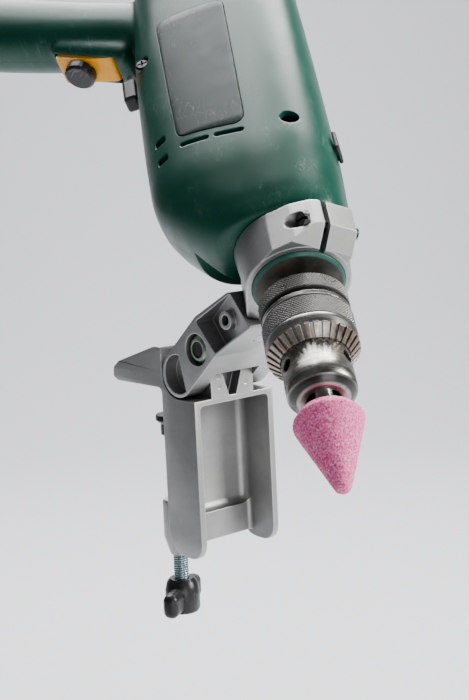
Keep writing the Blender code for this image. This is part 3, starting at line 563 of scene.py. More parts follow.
class Look:
    """A Principled material, with short calls for its nodes."""

    def __init__(self, name, roughness=0.5, metallic=0.0, **extra):
        self.material = bpy.data.materials.new(name)
        self.material.use_nodes = True
        self.nodes = self.material.node_tree.nodes
        self.links = self.material.node_tree.links
        self.shader = self.nodes["Principled BSDF"]
        self.shader.inputs["Roughness"].default_value = roughness
        self.shader.inputs["Metallic"].default_value = metallic
        for key, value in extra.items():
            self.shader.inputs[key.replace("_", " ")].default_value = value
        self.place = self.local_place()
        self.height = None

    def node(self, kind, **inputs):
        """A new node, each input given as a value or as another node's output."""
        node = self.nodes.new("ShaderNode" + kind)
        for key, value in inputs.items():
            self.plug(value, node.inputs[key.replace("_", " ")])
        return node

    def plug(self, value, socket):
        if hasattr(value, "is_output"):
            self.links.new(value, socket)
        else:
            socket.default_value = value

    def local_place(self):
        """Place in the piece's own frame: its object coordinates plus the shift that show() stores."""
        node = self.node("VectorMath")
        shift = self.node("Attribute")
        shift.attribute_name = "shift"
        self.links.new(self.node("TexCoord").outputs["Object"], node.inputs[0])
        self.links.new(shift.outputs["Vector"], node.inputs[1])
        return node.outputs["Vector"]

    def stretched(self, scale):
        return self.node("Mapping", Vector=self.place, Scale=scale).outputs["Vector"]

    def noise(self, scale, detail=4.0, rough=0.55, place=None, distort=0.0):
        node = self.node("TexNoise", Vector=place or self.place, Scale=scale, Detail=detail)
        node.inputs["Roughness"].default_value = rough
        node.inputs["Distortion"].default_value = distort
        return node.outputs["Fac"]

    def cells(self, scale):
        return self.node("TexVoronoi", Vector=self.place, Scale=scale).outputs["Distance"]

    def ramp(self, value, *stops):
        node = self.node("ValToRGB", Fac=value)
        ramp = node.color_ramp
        while len(ramp.elements) < len(stops):
            ramp.elements.new(0.5)
        for element, (place, colour) in zip(ramp.elements, stops):
            element.position = place
            grey = colour if isinstance(colour, tuple) else (colour, colour, colour)
            element.color = (*grey, 1.0)
        return node.outputs["Color"]

    def mix(self, factor, first, second):
        node = self.node("Mix")
        node.data_type = "RGBA"
        self.plug(factor, node.inputs[0])
        for value, socket in ((first, node.inputs[6]), (second, node.inputs[7])):
            self.plug((*value, 1.0) if isinstance(value, tuple) else value, socket)
        return node.outputs[2]

    def math(self, operation, first, second=0.0, clamp=False):
        node = self.node("Math")
        node.operation = operation
        node.use_clamp = clamp
        self.plug(first, node.inputs[0])
        self.plug(second, node.inputs[1])
        return node.outputs[0]

    def times(self, first, second):
        return self.math("MULTIPLY", first, second)

    def normal(self, value):
        """Let the next bump and the shader start from this normal."""
        self.height = value
        self.links.new(value, self.shader.inputs["Normal"])

    def bump(self, value, strength, distance):
        node = self.node("Bump", Strength=strength, Distance=distance, Height=value)
        if self.height:
            self.links.new(self.height, node.inputs["Normal"])
        self.normal(node.outputs["Normal"])

    def bevelled(self, radius):
        """The surface normal with its sharp edges rounded."""
        node = self.node("Bevel", Radius=radius)
        node.samples = 6
        return node.outputs["Normal"]

    def edges(self, radius):
        """Rounded look for sharp edges, under the bumps that follow."""
        self.normal(self.bevelled(radius))

    def worn(self, radius=0.0012):
        """Brighter toward edges: how far the rounded normal turns from the true one."""
        dot = self.node("VectorMath")
        dot.operation = "DOT_PRODUCT"
        self.links.new(self.bevelled(radius), dot.inputs[0])
        self.links.new(self.node("NewGeometry").outputs["Normal"], dot.inputs[1])
        return self.ramp(dot.outputs["Value"], (0.72, 1.0), (0.985, 0.0))

    def hollows(self, reach):
        """1 deep in pockets and corners, 0 on open faces: the mask for painted shade."""
        node = self.node("AmbientOcclusion", Distance=reach)
        node.samples = 8
        return self.ramp(node.outputs["AO"], (0.35, 0.85), (0.95, 0.0))

    def scratches(self, scale, turn, thin=0.012):
        """Fine lines along one direction, broken up."""
        spin = self.node("Mapping", Vector=self.place, Rotation=turn, Scale=(1.0, 0.04, 0.3))
        lines = self.noise(scale, 2.0, 0.5, spin.outputs["Vector"], 0.3)
        band = self.math("ABSOLUTE", self.math("SUBTRACT", lines, 0.5))
        fine = self.ramp(band, (0.0, 1.0), (thin, 0.0))
        patch = self.ramp(self.noise(45.0, 3.0), (0.5, 0.0), (0.62, 1.0))
        return self.times(fine, patch)

    def radius(self):
        """Distance from the piece's own Z axis."""
        node = self.node("VectorMath")
        node.operation = "LENGTH"
        self.links.new(self.stretched((1.0, 1.0, 0.0)), node.inputs[0])
        return node.outputs["Value"]

    def along(self):
        """Place along the piece's own Z axis."""
        return self.node("SeparateXYZ", Vector=self.place).outputs["Z"]

    def between(self, value, low, high):
        """0 at low, 1 at high, both in millimetres."""
        return self.node("MapRange", Value=value, From_Min=low * MM, From_Max=high * MM).outputs["Result"]

    def colour(self, value):
        self.links.new(value, self.shader.inputs["Base Color"])

    def shine(self, value):
        self.links.new(value, self.shader.inputs["Roughness"])


def cast_metal(name, pocket_shade):
    """Die-cast aluminium, tumbled: fine grain, soft clouds, bright edges and painted shade in pockets and
    corners.
    """
    look = Look(name, 0.5, 0.9, Specular_IOR_Level=0.5)
    cloud = look.noise(38.0, 5.0, 0.6)
    grain = look.noise(1500.0, 2.0, 0.5)
    base = look.ramp(cloud, (0.3, (0.33, 0.33, 0.325)), (0.7, (0.45, 0.45, 0.445)))
    speck = look.ramp(look.noise(700.0, 3.0, 0.6), (0.62, 0.0), (0.72, 0.5))
    base = look.mix(speck, base, (0.22, 0.22, 0.22))
    # Painted shade: the ambient-occlusion mask darkens pockets and corners, more on the frame than on the
    # arm.
    base = look.mix(look.times(look.hollows(0.022), pocket_shade), base, (0.085, 0.083, 0.080))
    look.colour(look.mix(look.worn(), base, (0.74, 0.74, 0.73)))
    look.shine(look.ramp(cloud, (0.3, 0.52), (0.7, 0.40)))
    look.edges(0.0005)
    look.bump(grain, 0.35, 0.00012)
    look.bump(look.noise(260.0, 3.0, 0.6), 0.25, 0.00025)
    return look.material


def green_plastic():
    """Satin moulded casing with rubbed corners, hair scratches and grey dust in patches."""
    look = Look("green_casing", 0.34, 0.0, Specular_IOR_Level=0.30)
    base = look.ramp(look.noise(22.0, 4.0), (0.3, (0.001, 0.046, 0.028)), (0.7, (0.002, 0.064, 0.041)))
    lines = look.math("ADD", look.scratches(220.0, (0.3, 0.6, 0.9)), look.scratches(300.0, (1.2, 0.1, 2.2)))
    lines = look.math("ADD", lines, look.scratches(180.0, (0.7, 1.4, 0.2)), True)
    dust = look.ramp(look.noise(330.0, 5.0, 0.7), (0.56, 0.0), (0.75, 0.22))
    patch = look.ramp(look.noise(14.0, 3.0, 0.5), (0.48, 0.0), (0.62, 1.0))
    dust = look.times(dust, patch)
    marks = look.math("ADD", look.times(lines, 0.35), dust, True)
    base = look.mix(marks, base, (0.13, 0.19, 0.16))
    look.colour(look.mix(look.times(look.worn(0.0015), 0.35), base, (0.02, 0.13, 0.10)))
    look.shine(look.mix(marks, look.ramp(look.noise(60.0, 4.0), (0.3, 0.28), (0.7, 0.38)), (0.6, 0.6, 0.6)))
    look.edges(0.0008)
    look.bump(look.noise(900.0, 2.0), 0.08, 0.0001)
    look.bump(lines, 0.25, 0.00006)
    return look.material


def plastic(name, colour, roughness, dirt_and_shade=(0.1, 0.1, 0.1), grain=0.1, shine=0.5):
    look = Look(name, roughness, 0.0, Specular_IOR_Level=shine)
    cloud = look.ramp(look.noise(40.0, 4.0), (0.4, 0.0), (0.75, 0.35))
    base = look.mix(cloud, colour, tuple(c * 0.75 for c in colour))
    soil_and_shade = look.ramp(look.noise(260.0, 5.0, 0.7), (0.58, 0.0), (0.72, 0.45))
    base = look.mix(soil_and_shade, base, dirt_and_shade)
    lines = look.scratches(260.0, (0.4, 0.9, 0.3))
    look.colour(look.mix(look.times(lines, 0.3), base, (0.4, 0.4, 0.38)))
    look.shine(look.ramp(look.noise(90.0, 4.0), (0.3, roughness - 0.06), (0.7, roughness + 0.1)))
    look.edges(0.0005)
    look.bump(look.noise(1300.0, 2.0), grain, 0.0001)
    return look.material


def metal(name, colour, roughness, stain, lathe=None, stain_at=(0.5, 0.66), grain=0.15, soil_and_shade=None):
    """Machined steel: a turning pattern along lathe, clouds of stain and bright rubbed edges.

    The last argument, given a look, returns 0 where painted shade fills grooves and gaps and 1 on open
    faces, and the shade's colour.
    """
    look = Look(name, roughness, 1.0)
    cloud = look.noise(90.0, 6.0, 0.65)
    base = look.mix(look.ramp(cloud, (stain_at[0], 0.0), (stain_at[1], 0.8)), colour, stain)
    fine = look.noise(420.0, 4.0, 0.6, look.stretched(lathe) if lathe else None)
    base = look.mix(look.ramp(fine, (0.45, 0.0), (0.7, 0.35)), base, tuple(c * 0.55 for c in colour))
    base = look.mix(look.worn(0.0008), base, tuple(min(1.0, c * 1.4) for c in colour))
    # Painted shade: grooves and gaps turn near-black and lose their metal.
    if soil_and_shade:
        unshaded, dirt_and_shade = soil_and_shade(look)
        base = look.mix(unshaded, dirt_and_shade, base)
        look.links.new(unshaded, look.shader.inputs["Metallic"])
    look.colour(base)
    look.shine(look.ramp(fine, (0.3, roughness - 0.07), (0.7, roughness + 0.14)))
    look.edges(0.0003)
    look.bump(fine, grain, 0.00008)
    return look.material


def grooves(low, high, dirt_and_shade):
    """Painted shade in what lies nearer the axis than the outer radius."""
    return lambda look: (look.between(look.radius(), low, high), dirt_and_shade)


def knurled_steel(name, low, high):
    """Dull steel with painted shade between its points."""
    dirt_and_shade = grooves(low, high, (0.012, 0.011, 0.010))
    return metal(name, (0.26, 0.255, 0.245), 0.28, (0.15, 0.14, 0.12), None, (0.5, 0.7), 0.1, dirt_and_shade)


def tooth_gaps(look):
    """Painted shade under the cone of the tooth tips, and in the pits of the steel."""
    depth = look.math("ADD", look.radius(), look.along())
    return look.between(depth, 62.2, 63.05), (0.030, 0.014, 0.007)


def chuck_bands(look):
    """Painted shade in the groove behind the polished band, on the line in front of it, on a thin ring and
    deep in the nose.
    """
    place = look.along()
    groove = look.times(look.between(place, 19.6, 20.0), look.between(place, 22.5, 22.2))
    line = look.times(look.between(place, 24.5, 24.7), look.between(place, 26.0, 25.6))
    ring = look.times(look.between(place, 60.7, 60.85), look.between(place, 61.3, 61.15))
    wide = look.between(look.radius(), 15.35, 15.38)
    ring = look.times(look.times(ring, wide), 0.6)
    deep = look.times(look.between(look.radius(), 15.2, 14.2), look.between(place, 68.6, 68.0))
    dark = look.math("ADD", look.math("ADD", groove, line), look.math("ADD", ring, deep), True)
    return look.math("SUBTRACT", 1.0, dark, True), (0.012, 0.011, 0.010)


def stone_grit():
    """Pink vitrified grit: dense grains of pale, rose and dark pink, with open pores."""
    look = Look("pink_grit", 0.85, 0.0, Subsurface_Weight=0.08, Subsurface_Scale=0.002)
    look.shader.inputs["Subsurface Radius"].default_value = (1.0, 0.4, 0.4)
    grain = look.noise(1150.0, 3.0, 0.7)
    base = look.ramp(
        grain,
        (0.33, (0.30, 0.015, 0.10)),
        (0.43, (0.76, 0.075, 0.28)),
        (0.54, (0.88, 0.20, 0.42)),
        (0.68, (0.95, 0.66, 0.78)),
    )
    cloud = look.ramp(look.noise(70.0, 3.0), (0.35, 0.0), (0.7, 0.35))
    look.colour(look.mix(cloud, base, (0.84, 0.12, 0.34)))
    look.bump(look.noise(650.0, 4.0, 0.7), 0.9, 0.0005)
    look.bump(look.cells(1100.0), 0.35, 0.0003)
    return look.material


def neck_paint():
    """The casing's green on the neck's rim, rubbed down to dark dirt on its end face."""
    look = Look("neck_paint", 0.4, 0.0)
    cloud = look.ramp(look.noise(200.0, 4.0), (0.5, 0.0), (0.65, 0.5))
    green = look.mix(cloud, (0.003, 0.075, 0.05), (0.002, 0.03, 0.02))
    soil_and_shade = look.ramp(look.noise(160.0, 5.0), (0.42, 0.0), (0.6, 1.0))
    dirt_and_shade = look.mix(soil_and_shade, (0.012, 0.016, 0.011), (0.05, 0.038, 0.025))
    look.colour(look.mix(look.between(look.radius(), 19.7, 20.1), dirt_and_shade, green))
    look.shine(look.ramp(look.noise(120.0, 4.0), (0.3, 0.34), (0.7, 0.6)))
    look.edges(0.0004)
    look.bump(look.noise(500.0, 4.0, 0.6), 0.3, 0.0003)
    return look.material


CAST_LOOK = cast_metal("cast_aluminium", 0.25)
FRAME_LOOK = cast_metal("cast_frame_aluminium", 0.9)
GREEN_LOOK = green_plastic()
PANEL_LOOK = plastic("dark_panel", (0.002, 0.018, 0.014), 0.42, (0.012, 0.034, 0.028), 0.2, 0.22)
BLACK_LOOK = plastic("black_plastic", (0.010, 0.010, 0.011), 0.34, (0.030, 0.030, 0.030), 0.1, 0.4)
ORANGE_LOOK = plastic("amber_trigger", (0.95, 0.40, 0.003), 0.28, (0.72, 0.30, 0.01), 0.05, 0.35)
ZINC_LOOK = metal("zinc_plate", (0.50, 0.58, 0.60), 0.26, (0.30, 0.37, 0.39))
# Painted shade in the roots of the clamp screw's thread.
SCREW_THREAD_SHADE = grooves(3.45, 3.9, (0.02, 0.035, 0.04))
SCREW_LOOK = metal(
    "zinc_thread", (0.50, 0.66, 0.70), 0.24, (0.25, 0.38, 0.42), None, (0.55, 0.7), 0.1, SCREW_THREAD_SHADE
)
# Painted shade in the roots of the pinch bolt's thread.
BOLT_THREAD_SHADE = grooves(3.3, 3.9, (0.004, 0.004, 0.004))
BOLT_LOOK = metal(
    "bolt_thread", (0.10, 0.10, 0.10), 0.34, (0.02, 0.02, 0.02), None, (0.5, 0.66), 0.1, BOLT_THREAD_SHADE
)
GREENISH_LOOK = metal("passivated_zinc", (0.36, 0.44, 0.36), 0.34, (0.2, 0.24, 0.18))
DARK_STEEL_LOOK = metal("black_oxide", (0.06, 0.06, 0.062), 0.34, (0.02, 0.02, 0.02))
STEEL_LOOK = metal("worn_steel", (0.33, 0.325, 0.31), 0.26, (0.20, 0.18, 0.16), (0.15, 0.15, 1.0))
NOSE_STAIN = (0.15, 0.14, 0.11)
NOSE_LATHE = (0.12, 0.12, 1.0)
NOSE_LOOK = metal(
    "chuck_nose_steel", (0.36, 0.35, 0.32), 0.25, NOSE_STAIN, NOSE_LATHE, (0.46, 0.64), 0.3, chuck_bands
)
JAW_LOOK = metal("ground_jaw_steel", (0.50, 0.49, 0.47), 0.22, (0.30, 0.24, 0.18), (0.2, 0.2, 1.0))
GEAR_LOOK = metal(
    "toothed_steel", (0.38, 0.33, 0.275), 0.32, (0.17, 0.10, 0.055), None, (0.45, 0.62), 0.2, tooth_gaps
)
REAR_KNURL_LOOK = knurled_steel("rear_knurl_steel", 20.22, 20.46)
FRONT_KNURL_LOOK = knurled_steel("front_knurl_steel", 20.52, 20.76)
COPPER_LOOK = metal("copper", (0.62, 0.28, 0.13), 0.35, (0.3, 0.12, 0.06), (0.2, 0.2, 1.0))
NECK_LOOK = neck_paint()
STONE_LOOK = stone_grit()


# Placing pieces


def places_of(mesh):
    points = np.empty(3 * len(mesh.vertices), np.float32)
    mesh.vertices.foreach_get("co", points)
    return points


def show(obj, name, place, body, look, *nodes):
    """Name a piece, set it in its frame and let it ride; it stands for the CAD nodes given."""
    obj.name = name
    obj.data.name = name
    local = places_of(obj.data)
    obj.data.transform(place)
    shift = obj.data.attributes.new("shift", "FLOAT_VECTOR", "POINT")
    shift.data.foreach_set("vector", local - places_of(obj.data))
    obj.data.materials.clear()
    obj.data.materials.append(look)
    obj.data.polygons.foreach_set("material_index", [0] * len(obj.data.polygons))
    obj.data.shade_smooth()
    obj.data.set_sharp_from_angle(angle=math.radians(32))
    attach(obj, body)
    if nodes:
        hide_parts(*nodes)
    return obj


def grid_ring(heights, count, radius_at):
    """A band round the axis: radius_at(angle, height) gives each point's distance; its rims are left open.
    """
    work = bmesh.new()
    rings = []
    for height in heights:
        ring = []
        for step in range(count):
            angle = 2 * math.pi * step / count
            reach = radius_at(angle, height)
            ring.append(work.verts.new((reach * math.cos(angle), reach * math.sin(angle), height)))
        rings.append(ring)
    for below, above in zip(rings, rings[1:]):
        for index in range(count):
            after = (index + 1) % count
            work.faces.new((below[index], below[after], above[after], above[index]))
    return solid_of(work)


def spread(low, high, count):
    return [low + (high - low) * step / count for step in range(count + 1)]


def triangle_wave(value):
    return abs((value % 1.0) * 2.0 - 1.0)


def diamonds(radius, depth, around, pitch):
    """Crossed grooves that leave diamond points."""

    def reach(angle, height):
        turn = angle * around / (2 * math.pi)
        first = triangle_wave(turn + height / pitch)
        second = triangle_wave(turn - height / pitch)
        return radius - depth * (1.0 - min(1.0, 1.6 * min(first, second)))

    return reach


def knurl(low, high, radius):
    heights = [low - 0.01, *spread(low, high, int((high - low) / 0.16)), high + 0.01]
    wave = diamonds(radius, 0.36, 92, 1.42)

    def reach(angle, height):
        if height < low or height > high:
            return radius - 3.0
        edge = min(height - low, high - height, 0.5) / 0.5
        return wave(angle, height) - (1.0 - edge) * 0.35

    return grid_ring(heights, 92 * 8, reach)


# Clamp


def make_clamp():
    body = soften(prism(frame_outline(), FRAME_LEFT, FRAME_RIGHT, "YZ"), 0.7, 3)
    join(body, knuckles())
    cut(body, *front_channel(), knuckle_notch(), jaw_pocket(-21.0, -2.0), jaw_pocket(2.0, 21.0))
    join(body, lower_arm())
    cut(
        body,
        rod(SCREW_HOLE, (0, 0, -100), (0, 0, 1), 45),
        rod(PIN_HOLE, (-20, HINGE.y, HINGE.z), (1, 0, 0), 40),
    )
    for x, z in ((-9.5, 1.2), (7.8, 1.2), (-9.5, 6.1)):
        cut(body, rod(1.5, (x, LEG_FRONT - 0.5, z), (0, 1, 0), 0.75, sides=24))
    show(body, "cast_clamp", AT_CLAMP, "clamp", FRAME_LOOK, "clamp_frame")


def thread(radius, pitch, low, high, depth=0.62):
    """A rod with a right-hand thread."""

    def reach(angle, height):
        wave = triangle_wave(height / pitch - angle / (2 * math.pi))
        end = min(height - low, high - height, 1.0)
        return radius - depth * (1.0 - min(1.0, wave * 1.25)) - 0.5 * (1.0 - end)

    skin = grid_ring(spread(low, high, int((high - low) / (pitch / 8))), 32, reach)
    return join_loose(skin, rod(radius - 0.7, (0, 0, low), (0, 0, 1), high - low, sides=32))


def make_clamp_hardware():
    screw = thread(SCREW_RADIUS, THREAD_PITCH, -116.4, -BOARD_THICKNESS - 4.3)
    show(screw, "threaded_rod", AT_CLAMP, "screw", SCREW_LOOK, "clamp_screw")
    profile = [(0, -109.5), (6.4, -109.5), (8.0, -111.5), (9.2, -116.0), (9.2, -126.0), (8.2, -127.6)]
    profile += [(0, -127.6)]
    knob = turned(profile, steps=64)
    for side in (0, 1):
        lobe = soften(box((4.0, 21.6), (-4.2, 4.2), (-126.3, -113.2)), 3.9, 6)
        lobe.data.transform(Matrix.Rotation(math.radians(32 + 180 * side), 4, "Z"))
        join(knob, lobe)
    cut(knob, rod(SCREW_RADIUS + 0.1, (0, 0, -116.8), (0, 0, 1), 12))
    show(knob, "wing_knob_moulded", AT_CLAMP, "screw", BLACK_LOOK, "wing_knob")
    top = -BOARD_THICKNESS
    profile = [(0, top), (8.2, top), (8.8, top - 0.3), (9.0, top - 0.9), (9.0, top - 3.0), (6.6, top - 5.0)]
    profile += [(6.6, -31.0), (4.3, -31.0), (4.3, top - 4.0), (0, top - 4.0)]
    show(turned(profile, steps=64), "pad_moulded", AT_CLAMP, "pad", BLACK_LOOK, "pressure_pad")


# Tilt arm


def make_arm():
    end = face_offset()
    body = soften(prism(arm_outline(), FRAME_LEFT, ARM_RIGHT, "YZ"), 0.6, 3)
    cut(body, fork_slot(), right_relief(), lobe_pocket(), upper_pocket())
    join(body, rod(4.3, (FRAME_LEFT, *LOCK_SCREW), (1, 0, 0), 12.0, 5.8, 64))
    cut(
        body,
        rod(8.0, (-30, *PINCH), (1, 0, 0), 11.5, sides=64),
        rod(4.2, (-30, *PINCH), (1, 0, 0), 70),
        rod(8.6, (17.5, *PINCH), (1, 0, 0), 12, sides=64),
        rod(PIN_HOLE, (-17.5, 0, 0), (1, 0, 0), 50),
        rod(2.6, (-30, *LOCK_SCREW), (1, 0, 0), 21),
        rod(SPIGOT_HOLE, end - SWIVEL_AXIS * 3, SWIVEL_AXIS, 3 + SPIGOT_LENGTH + 1.2),
    )
    show(body, "cast_arm", AT_HINGE, "arm", CAST_LOOK, "tilt_arm")
    nut = prism(regular(6, 7.5, PINCH, 12.0), -24.7, -18.8, "YZ")
    chamfer = [(0, 3.4), (5.0, 3.4), (7.9, 0.6), (7.9, -4.0), (0, -4.0)]
    keep(nut, turned(chamfer, (-21.4, *PINCH), (-1, 0, 0)))
    cut(nut, rod(4.05, (-30, *PINCH), (1, 0, 0), 20))
    show(nut, "hexagon_nut", AT_HINGE, "arm", GREENISH_LOOK, "pinch_nut")
    stud = thread(3.98, THREAD_PITCH, -19.9, 24.3)
    head = prism(regular(6, 7.5), -25.2, -19.8)
    lie = Matrix.Translation(Vector((0, *PINCH)) * MM) @ Matrix.Rotation(-math.pi / 2, 4, "Y")
    place = AT_HINGE @ lie
    show(join_loose(stud, head), "threaded_pinch_bolt", place, "arm", BOLT_LOOK, "pinch_bolt")


# Collar


def make_collar():
    front = SWIVEL_BACK
    rear = SWIVEL_BACK - COLLAR_LENGTH
    body = turned([(0, front), (23.7, front), (24.3, front - 0.6), (26.6, rear), (0, rear)], steps=FINE)
    foot = [(FOOT_END, 13.2), (12.0, 21.2), (0.0, 20.0), (0.0, -20.0), (12.0, -21.2), (FOOT_END, -13.2)]
    lugs = rounded(
        [
            (-8.0, -23.0, 0.0),
            (-15.7, -21.5, 3.0),
            (-25.1, -14.3, 3.0),
            (-30.8, -6.5, 2.0),
            (-31.8, -3.2, 0.0),
            (-31.8, 15.0, 1.0),
            (-18.0, 15.5, 0.0),
            (-8.0, 21.0, 0.0),
        ],
        6,
    )
    join(body, soften(prism(foot, rear + 0.4, front - 0.4), 0.6, 3), prism(lugs, rear + 0.2, front - 0.2))
    slope = [(-22.8, front + 0.5), (-50.0, front + 0.5), (-50.0, front - 26.7)]
    cut(
        body,
        prism(slope, -45.0, 45.0, "XZ"),
        rod(COLLAR_BORE, (0, 0, rear - 5), (0, 0, 1), COLLAR_LENGTH + 10, sides=FINE),
        box((-40.0, -12.0), (-1.5, 1.5), (rear - 5, front + 5)),
        rod(3.1, (CLAMP_E, -30, CLAMP_K), (0, 1, 0), 60, sides=32),
        rod(4.9, (CLAMP_E, -30, CLAMP_K), (0, 1, 0), 22.2),
    )
    spigot = rod(SPIGOT_RADIUS, (FOOT_END - 2.5, 0, 0), (1, 0, 0), SPIGOT_LENGTH + 2.5)
    join(body, spigot)
    show(body, "cast_collar", AT_SWIVEL, "drill", CAST_LOOK, "collar")
    profile = [(0, 8.1), (4.4, 8.1), (4.4, 10.6), (3.9, 11.1), (0, 11.1)]
    screw = turned(profile, (0, 0, 0), (0, -1, 0))
    join(screw, rod(2.9, (0, -9.5, 0), (0, 1, 0), 27.2, sides=32))
    cut(screw, box((-7, 7), (-15, -9.4), (-0.75, 0.75)))
    screw.data.transform(Matrix.Rotation(0.5, 4, "Y"))
    screw.data.transform(Matrix.Translation((CLAMP_E * MM, 0, CLAMP_K * MM)))
    show(screw, "slotted_screw", AT_SWIVEL, "drill", DARK_STEEL_LOOK, "collar_clamp_screw")


# Chuck and stone


def make_chuck():
    profile = [
        (0, 30.0), (7.1, 30.0), (7.1, 68.0), (7.9, 69.0), (10.2, 69.2), (10.8, 69.0), (15.0, 65.9),
        (15.4, 65.1), (15.55, 58.2), (15.4, 57.9), (15.4, 25.0), (19.9, 24.7), (20.3, 24.4),
        (20.3, 22.6), (18.8, 22.1), (18.8, 20.2), (19.6, 20.0), (19.6, 12.0), (12.0, 10.0),
        (6.6, 10.0), (6.6, 26.0), (0, 26.0),
    ]
    body = turned(profile, steps=128)
    for index, angle in enumerate(JAW_ANGLES):
        turn = math.radians(angle)
        outward = Vector((math.cos(turn), math.sin(turn), 0.0))
        tip = outward * 4.6 + Vector((0, 0, 74.0))
        direction = outward * math.sin(JAW_TILT) - Vector((0, 0, math.cos(JAW_TILT)))
        turn += math.radians(60)
        side = Vector((math.cos(turn), math.sin(turn), 0.0))
        cut(
            body,
            rod(3.88, tip - direction * 10, direction, 41.5),
            rod(3.1, side * 11.5 + Vector((0, 0, 52.5)), side, 8.0),
        )
        jaw = rod(3.8, tip - direction * 3, direction, 28.0, sides=64)
        cut(jaw, rod(3.05, (0, 0, 30), (0, 0, 1), 60), box((-20, 20), (-20, 20), (74.0, 90)))
        name = f"chuck_jaw_{index + 1}"
        show(jaw, f"ground_jaw_{index + 1}", AT_DRILL, f"jaw_{index + 1}", JAW_LOOK, name)
    show(body, "chuck_core", AT_DRILL, "spindle_group", NOSE_LOOK, "chuck_body")
    show(knurl(12.1, 19.9, 20.5), "rear_knurl", AT_DRILL, "spindle_group", REAR_KNURL_LOOK)


def make_sleeve():
    show(knurl(25.6, 36.0, 20.8), "sleeve_knurl", AT_DRILL, "sleeve", FRONT_KNURL_LOOK, "chuck_sleeve")
    profile = [
        (15.53, 46.5), (15.9, 46.5), (19.7, 41.9), (20.2, 41.5), (20.8, 38.4), (20.9, 36.9),
        (20.7, 36.3), (20.0, 36.0), (15.53, 36.0),
    ]
    show(turned(profile, steps=128, closed=True), "sleeve_nose_ring", AT_DRILL, "sleeve", STEEL_LOOK)
    profile = [(15.6, 46.9), (16.3, 46.9), (20.75, 42.4), (20.75, 41.4), (15.6, 41.4)]
    ring = turned(profile, steps=144, closed=True)
    slope = math.atan2(20.75 - 16.3, 46.9 - 42.4)
    gaps = []
    for index in range(SLEEVE_TEETH):
        gap = prism([(-0.72, -1.7), (0.72, -1.7), (1.08, 1.5), (-1.08, 1.5)], -6.0, 6.0, "XY")
        gap.data.transform(Matrix.Rotation(math.pi / 2, 4, "X"))
        gap.data.transform(Matrix.Rotation(math.pi / 2, 4, "Z"))
        gap.data.transform(Matrix.Rotation(slope, 4, "Y"))
        gap.data.transform(Matrix.Translation((18.9 * MM, 0, 44.9 * MM)))
        gap.data.transform(Matrix.Rotation(2 * math.pi * index / SLEEVE_TEETH, 4, "Z"))
        gaps.append(gap)
    cut(ring, join_loose(*gaps))
    show(ring, "sleeve_teeth", AT_DRILL, "sleeve", GEAR_LOOK)


def make_stone():
    slope = math.radians(19.2)
    tip = arc((0.0, 113.0), 4.0, 90.0, math.degrees(slope), 10)
    edge = tip[-1]
    shoulder = edge[1] - (14.9 - edge[0]) / math.tan(slope)
    heel = arc((12.9, shoulder - 1.2), 2.5, 20.0, -35.0, 8)
    profile = list(tip)
    for step in range(1, 16):
        profile.append(tuple(a + (b - a) * step / 16 for a, b in zip(edge, heel[0])))
    profile += heel
    profile += [(13.6, shoulder - 4.4), (12.0, shoulder - 6.6), (9.8, shoulder - 8.2)]
    profile += [(3.06, shoulder - 8.6), (0, shoulder - 8.6)]
    stone = turned(profile, steps=160)
    refine = stone.modifiers.new("Refine", "SUBSURF")
    refine.levels = 1
    refine.render_levels = 1
    bake(stone)
    for vert in stone.data.vertices:
        point = vert.co * 1000
        bump = noise.noise(point * 1.1) * 0.16 + noise.noise(point * 0.25) * 0.18
        vert.co += vert.normal * bump * MM
    show(stone, "grit_stone", AT_DRILL, "spindle_group", STONE_LOOK, "grinding_stone")


# Drill casing


def fine_stations(stations, step):
    """Stations of a smooth curve through the given ones."""
    result = []
    for index in range(len(stations) - 1):
        before = stations[max(0, index - 1)]
        first = stations[index]
        second = stations[index + 1]
        after = stations[min(len(stations) - 1, index + 2)]
        pieces = max(1, int((second[0] - first[0]) / step))
        for part in range(pieces):
            t = part / pieces
            height = first[0] + (second[0] - first[0]) * t
            values = []
            for channel in range(1, 4):
                a, b, c, d = before[channel], first[channel], second[channel], after[channel]
                slope_in = (c - a) / max(1e-6, second[0] - before[0]) * (second[0] - first[0])
                slope_out = (d - b) / max(1e-6, after[0] - first[0]) * (second[0] - first[0])
                h00 = 2 * t**3 - 3 * t**2 + 1
                h10 = t**3 - 2 * t**2 + t
                h01 = -2 * t**3 + 3 * t**2
                h11 = t**3 - t**2
                values.append(h00 * b + h10 * slope_in + h01 * c + h11 * slope_out)
            result.append((height, *values))
    result.append(stations[-1])
    return result


def smooth_blend(obj, voxel, turns):
    """Re-mesh a joined form and relax it, so that its parts flow together."""
    mesh = obj.modifiers.new("Remesh", "REMESH")
    mesh.mode = "VOXEL"
    mesh.voxel_size = voxel * MM
    relax = obj.modifiers.new("Relax", "SMOOTH")
    relax.factor = 0.5
    relax.iterations = turns
    return bake(obj)


def toward_arm(near, low, high):
    """A block on the arm's side of the casing, from its distance to the drill axis outward."""
    block = box((near, 60.0), (-45.0, 45.0), (low, high))
    block.data.transform(Matrix.Rotation(math.pi / 2 - HANDLE_TURN, 4, "Z"))
    return block


